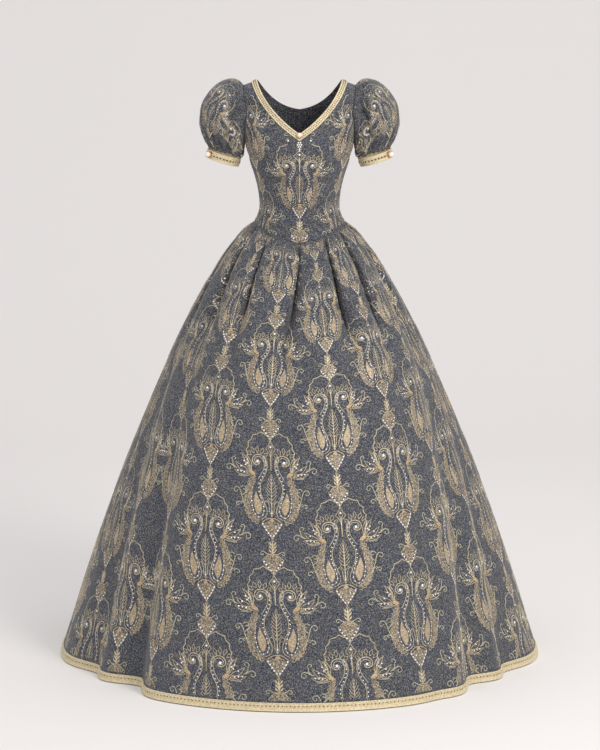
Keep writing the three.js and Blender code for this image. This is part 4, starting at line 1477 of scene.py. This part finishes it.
# Fitted to the curves of the hem and the shoulders in the photo, in metres, degrees and millimetres
CAMERA_PLACE = (0, -10.191, 1.1312)
CAMERA_DOWN = 10.63
CAMERA_LENS = 187.15
CAMERA_SHIFT = 0.5 / 750  # half a pixel

FLOOR_REACH = 9  # metres forwards, to either side and up
SWEEP_START = 2.6  # metres behind the gown
SWEEP_RADIUS = 2.4
FLOOR_CLEAR = 0.002


def add_camera():
    data = bpy.data.cameras.new("camera")
    data.lens = CAMERA_LENS
    data.shift_x = CAMERA_SHIFT
    data.clip_end = 100
    made = place_object("camera", data)
    made.location = CAMERA_PLACE
    made.rotation_euler = ((90 - CAMERA_DOWN) * DEG, 0, 0)
    bpy.context.scene.camera = made


def add_floor():
    """A pale sheet that lies under the gown and sweeps up behind it."""
    section = [(-FLOOR_REACH, 0)]
    for turn in np.arange(0, 91, 6) * DEG:
        rise = SWEEP_RADIUS - SWEEP_RADIUS * math.cos(turn)
        section.append((SWEEP_START + SWEEP_RADIUS * math.sin(turn), rise))
    section.append((SWEEP_START + SWEEP_RADIUS, FLOOR_REACH))
    level = HEM_Z * MM - FLOOR_CLEAR
    vertices = [(x, y, z + level) for y, z in section for x in (-FLOOR_REACH, FLOOR_REACH)]
    faces = [(2 * i, 2 * i + 1, 2 * i + 3, 2 * i + 2) for i in range(len(section) - 1)]
    mesh = bare_mesh("floor", vertices, faces)
    mesh.shade_smooth()
    mesh.materials.append(studio_paper())
    place_object("floor", mesh)


def add_light(name, place, target, size, power, tint="#ffffff"):
    data = bpy.data.lights.new(name, "AREA")
    data.size = size
    data.energy = power
    data.color = colour(tint)[:3]
    made = place_object(name, data)
    made.location = place
    direction = np.array(target) - np.array(place)
    tilt = math.atan2(math.hypot(direction[0], direction[1]), -direction[2])
    made.rotation_euler = (tilt, 0, math.atan2(direction[1], direction[0]) - math.pi / 2)


def add_lights():
    world = bpy.data.worlds.new("studio")
    world.use_nodes = True
    background = world.node_tree.nodes["Background"]
    background.inputs["Color"].default_value = colour("#fbf9fa")
    background.inputs["Strength"].default_value = 0.77
    bpy.context.scene.world = world
    add_light("key", (2.8, -3.9, 2.5), (0, 0, -0.8), 2, 152, "#fffaf4")
    add_light("fill", (-3.2, -4.2, 0.8), (0, 0, -0.8), 3, 12, "#f8faff")
    add_light("top", (0, 0.4, 3.2), (0, 0, -0.6), 2.4, 34)


# The gown's pieces

BRAID = 1.5  # thickness of the braid
BAND_WALL = 2.2  # and of the sleeves' bands
STRIP_GROWTH = 1.05  # steps in which a flat rectangle widens until strips side by side fit in it


def settle(piece, node=None, material=None):
    """Puts a finished piece on the gown's one body."""
    if material is not None:
        piece.data.materials.clear()
        piece.data.materials.append(material)
    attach(piece, "root")
    if node:
        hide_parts(node)
    return piece


def flat_size(grid):
    """Widest and longest run of a grid in metres, and its area."""
    points = grid[0] * MM
    across = np.linalg.norm(np.diff(points, axis=1), axis=-1).sum(1).max()
    down = np.linalg.norm(np.diff(points, axis=0), axis=-1).sum(0).max()
    a = points[1:, 1:] - points[:-1, :-1]
    b = points[1:, :-1] - points[:-1, 1:]
    area = np.linalg.norm(np.cross(a, b), axis=-1).sum() / 2
    return across, down, area


def declare(grids):
    """Works out a piece's flat rectangle, widened until its area fits in it, and its area. Nothing is kept or
    given back.
    """
    sizes = [flat_size(g) for g in grids]
    area = sum(s[2] for s in sizes)
    width = max(s[0] for s in sizes)
    length = max(s[1] for s in sizes)
    while area > width * length:
        width *= STRIP_GROWTH


def cut_cloth(name, grids, materials):
    return settle(wall(f"{name}_cloth", grids, -CLOTH, 0), name, materials["cloth"])


def cut_braid(name, node, grids, materials, inner=SEAM_GAP, outer=SEAM_GAP + BRAID):
    return settle(wall(f"{name}_braid", grids, inner, outer), node, materials["braid"])


def embroider(name, where, spots, materials):
    """The motif's threads and stones, with its tip at each of the columns and repeats."""
    stitching = Stitching()
    for column, repeat in spots:
        stitching.lay(MOTIF, where, column, repeat)
    worked = [settle(p) for p in stitching.pieces(name, materials)]
    return worked


# Trimming on each braid: what it is, how far across the braid, its size and its spacing in millimetres
HEM_TRIM = (
    ("cord", 0.06, 3.8, 4),
    ("cord", 0.72, 3.2, 4),
    ("rings", 0.39, 10, 10.4),
    ("dots", 0.39, 3.6, 10.4),
    ("zigzag", 0.89, 1.6, 4.8),
)
NECK_TRIM = (
    ("cord", 0.13, 4.4, 4),
    ("cord", 0.87, 4.4, 4),
    ("cord", 0.5, 2.6, 4),
    ("dots", 0.34, 3.4, 5.4),
    ("dots", 0.66, 3.4, 5.4),
)
BAND_TRIM = (
    ("cord", 0.1, 4.4, 4),
    ("cord", 0.9, 4.4, 4),
    ("rings", 0.5, 9.6, 9),
    ("dots", 0.5, 5, 9),
)
ZIGZAG_REACH = 0.1  # share of the braid's width to either side of its line


def line_across(points, normals, share):
    """The line along a braid at a share of the way across it, and its normals."""
    row = share * (len(points) - 1)
    i = min(int(row), len(points) - 2)
    t = row - i
    return points[i] * (1 - t) + points[i + 1] * t, unit(normals[i] * (1 - t) + normals[i + 1] * t)


def trim_spots(points, normals, kind, share, pitch):
    """Evenly spaced points on top of a braid along its length, and the way each faces."""
    line, out = line_across(points, normals, share)
    length = walked(line)
    count = max(2, round(length[-1] / pitch))
    at = (np.arange(count) + 0.5) * length[-1] / count
    spots = pick(line, length, at)
    if kind == "zigzag":
        upper = line_across(points, normals, share - ZIGZAG_REACH)[0]
        lower = line_across(points, normals, min(1, share + ZIGZAG_REACH))[0]
        up = (np.arange(count) % 2)[:, None]
        spots = pick(upper, length, at) * up + pick(lower, length, at) * (1 - up)
    outs = unit(pick(out, length, at))
    return spots + outs * (SEAM_GAP + BRAID), outs


def braid_trim(region, grid, materials, trim, along_rows=False):
    """Cords, rings and dots along a braid, whose length runs along the grid's columns or rows."""
    points, normals = grid[:2]
    if along_rows:
        points, normals = points.transpose(1, 0, 2), normals.transpose(1, 0, 2)
    gathered = {}
    for kind, share, size, pitch in trim:
        spots, outs = trim_spots(points, normals, kind, share, pitch)
        sizes = np.full(len(spots), float(size))
        joined = np.arange(len(spots)) < len(spots) - 1
        gathered.setdefault("cord" if kind == "zigzag" else kind, []).append((spots, outs, sizes, joined))
    made = []
    for kind, listed in gathered.items():
        spots, outs, sizes, joined = stacked(listed)
        name = f"{region}_{kind}"
        if kind == "cord":
            piece = thread_lines(name, spots, outs, sizes / 2, joined, materials["braid_cord"])
        elif kind == "rings":
            piece = scatter(name, spots, outs, sizes, ring_shape, materials["braid_cord"])
        else:
            sunk = spots - outs * LINE_SINK
            piece = scatter(name, sunk, outs, sizes, bead_shape, materials["braid_dark"])
        made.append(settle(piece))
    return made


def panel_columns(surface, start, stop):
    first, last = np.searchsorted(surface.named, (start - 0.01, stop - 0.01))
    return slice(int(first), int(last) + 1)


def skirt_spots(start, stop):
    """Columns and repeats of the motifs on a panel. Odd columns lie half a repeat lower."""
    columns = [c for c in range(-11, 13) if start <= column_angle(c) < stop]
    spots = [(c, turn + ((c < RIGHT_SEAM_COLUMN) + c) % 2 * 0.5) for c in columns for turn in range(-1, 5)]
    return [spot for spot in spots if spot[1] < LAST_REPEAT]


def make_skirt(materials):
    surface = skirt_surface()
    where = SkirtMap(surface)
    braid_row = int(np.searchsorted(surface.down, BRAID_TOP - 1e-9))
    for name, (start, stop) in SKIRT_PANELS.items():
        columns = panel_columns(surface, start, stop)
        grid = surface.part(columns=columns)
        panel = cut_cloth(f"skirt_{name}", [grid], materials)
        worked = embroider(f"skirt_{name}", where, skirt_spots(start, stop), materials)
        declare([grid])
        hem = surface.part(slice(braid_row, None), columns)
        band = cut_braid(f"hem_{name}", f"hem_braid_{name}", [hem], materials)
        trims = braid_trim(f"hem_{name}", hem, materials, HEM_TRIM)
        declare([hem])


def make_bodice(materials):
    spots = [(column, turn + column % 2 * 0.5) for column in range(-2, 3) for turn in (-1, 0, 1)]
    front = bodice_half(-1, FRONT_NECK)
    back = bodice_half(1, BACK_NECK)
    both = [*front, *[mirrored(g) for g in front]]
    cloth = cut_cloth("bodice_front", both, materials)
    worked = embroider("bodice_front", BodiceMap(-1), spots, materials)
    declare(both)
    braids = [front[0], mirrored(front[0])]
    band = cut_braid("neck_front", "neck_braid_front", braids, materials)
    trims = braid_trim("neck_front_left", braids[0], materials, NECK_TRIM, along_rows=True)
    trims += braid_trim("neck_front_right", braids[1], materials, NECK_TRIM, along_rows=True)
    declare(braids)
    for hand, sign in (("left", 1), ("right", -1)):
        half = back if hand == "left" else [mirrored(g) for g in back]
        name = f"bodice_back_{hand}"
        cloth = cut_cloth(name, half, materials)
        worked = embroider(name, BodiceMap(1, sign), spots, materials)
        declare(half)
        band = cut_braid(f"neck_back_{hand}", f"neck_braid_back_{hand}", half[:1], materials)
        trims = braid_trim(f"neck_back_{hand}", half[0], materials, NECK_TRIM, along_rows=True)
        declare(half[:1])


BAND_ROWS = 7
BAND_COLUMNS = 97


def band_grid():
    """The left sleeve's band, from underarm round the front and back."""
    axis = np.array((math.cos(CUFF_TILT), 0, -math.sin(CUFF_TILT)))
    out = np.array((math.sin(CUFF_TILT), 0, math.cos(CUFF_TILT)))
    middle_x = (SLEEVE["out_x"][-1] + SLEEVE["under_x"][-1]) / 2 + ARMHOLE_CLEAR
    middle_z = (SLEEVE["out_z"][-1] + SLEEVE["under_z"][-1]) / 2
    turn = np.linspace(math.pi, -math.pi, BAND_COLUMNS)
    reach = np.linspace(SEAM_GAP, SEAM_GAP + BAND_LENGTH, BAND_ROWS)
    normals = np.cos(turn)[:, None] * out - np.sin(turn)[:, None] * np.array((0, 1, 0))
    normals = np.broadcast_to(normals, (BAND_ROWS, BAND_COLUMNS, 3)).copy()
    points = np.array((middle_x, 0, middle_z)) + reach[:, None, None] * axis + normals * BAND_RADIUS
    uv = np.stack((-turn * BAND_RADIUS * MM, 0 * turn), -1)
    return points, normals, np.broadcast_to(uv, (BAND_ROWS, BAND_COLUMNS, 2)).copy(), False


def make_sleeves(materials):
    surface = sleeve_surface()
    spots = [(column, turn - column % 2 * 0.5) for column in range(SLEEVE_COLUMNS_ROUND) for turn in (0, 1)]
    for hand in ("left", "right"):
        grid = surface.part()
        band = band_grid()
        if hand == "right":
            grid, band = mirrored(grid), mirrored(band)
        cloth = cut_cloth(f"sleeve_{hand}", [grid], materials)
        worked = embroider(f"sleeve_{hand}", SleeveMap(surface, hand), spots, materials)
        declare([grid])
        cuff = cut_braid(f"sleeve_{hand}", f"sleeve_band_{hand}", [band], materials, -BAND_WALL, 0)
        # The trimming is laid on top of a braid, and the band's outside is its grid
        lowered = (band[0] - band[1] * (SEAM_GAP + BRAID), *band[1:])
        trims = braid_trim(f"sleeve_{hand}_band", lowered, materials, BAND_TRIM)
        declare([band])


NECK_DROP_TOP = -146
NECK_DROP_PITCH = 5.2
NECK_DROP_ROWS = (2, 3, 2, 1, 1)  # stones in each row
NECK_DROP_STONE = 4.4
NECK_DROP_LIFT = 0.6


def make_neck_drop(materials):
    """The small point of stones that hangs under the neck pearl."""
    spots = []
    for row, count in enumerate(NECK_DROP_ROWS):
        for k in range(count):
            x = (k - (count - 1) / 2) * NECK_DROP_PITCH
            spots.append((x, NECK_DROP_TOP - row * NECK_DROP_PITCH))
    x, z = np.array(spots).T
    points = bodice_point(-1, angle_at_x(np.abs(x), z) * np.sign(x), z)
    outs = np.broadcast_to(unit(np.array((0, -1.0, 0.2))), points.shape)
    sizes = np.full(len(x), NECK_DROP_STONE)
    points = points + outs * NECK_DROP_LIFT
    made = scatter("neck_drop_stones", points, outs, sizes, stone_shape, materials["crystal"])
    settle(made)


PEARL_SIDES = 32
PEARL_LEVELS = 16


def ball(name, middle, radius):
    """A round bead, in metres."""
    vertices = [(0, 0, 1)]
    for level in np.linspace(0, math.pi, PEARL_LEVELS + 1)[1:-1]:
        vertices += round_points(PEARL_SIDES, math.sin(level), math.cos(level))
    vertices.append((0, 0, -1))
    last = len(vertices) - 1
    ids = np.arange(1, last).reshape(-1, PEARL_SIDES)
    ids = np.column_stack((ids, ids[:, 0]))
    top, bottom = ids[0].tolist(), ids[-1].tolist()
    faces = [(0, a, b) for a, b in zip(top, top[1:])]
    faces += grid_quads(ids).tolist()
    faces += [(last, b, a) for a, b in zip(bottom, bottom[1:])]
    mesh = bare_mesh(name, (np.array(middle) + radius * np.array(vertices)).tolist(), faces)
    mesh.shade_smooth()
    return place_object(name, mesh)


def make_pearls(frame, materials):
    """The pearls, and the finish of the CAD's own cups, which stay."""
    for name in ("pearl_neck", "pearl_sleeve_left", "pearl_sleeve_right"):
        low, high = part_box(name)
        made = ball(name + "_bead", (low + high) / 2, (high - low).z / 2)
        settle(made, name, materials["pearl"])
        cup = frame["nodes"][name + "_cup"]
        cup.data.materials.clear()
        cup.data.materials.append(materials["gilt"])


add_camera()
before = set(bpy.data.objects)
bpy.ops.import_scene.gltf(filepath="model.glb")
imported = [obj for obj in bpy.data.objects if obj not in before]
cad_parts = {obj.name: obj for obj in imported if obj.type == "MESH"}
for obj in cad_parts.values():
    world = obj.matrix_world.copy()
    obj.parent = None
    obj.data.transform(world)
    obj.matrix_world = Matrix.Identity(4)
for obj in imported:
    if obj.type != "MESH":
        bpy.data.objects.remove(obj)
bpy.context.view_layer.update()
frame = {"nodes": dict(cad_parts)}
add_floor()
add_lights()
bpy.context.scene.view_settings.view_transform = "Standard"
finishes = make_materials()
make_skirt(finishes)
make_bodice(finishes)
make_sleeves(finishes)
make_neck_drop(finishes)
make_pearls(frame, finishes)
for helper in HELPERS:
    bpy.data.objects.remove(helper)
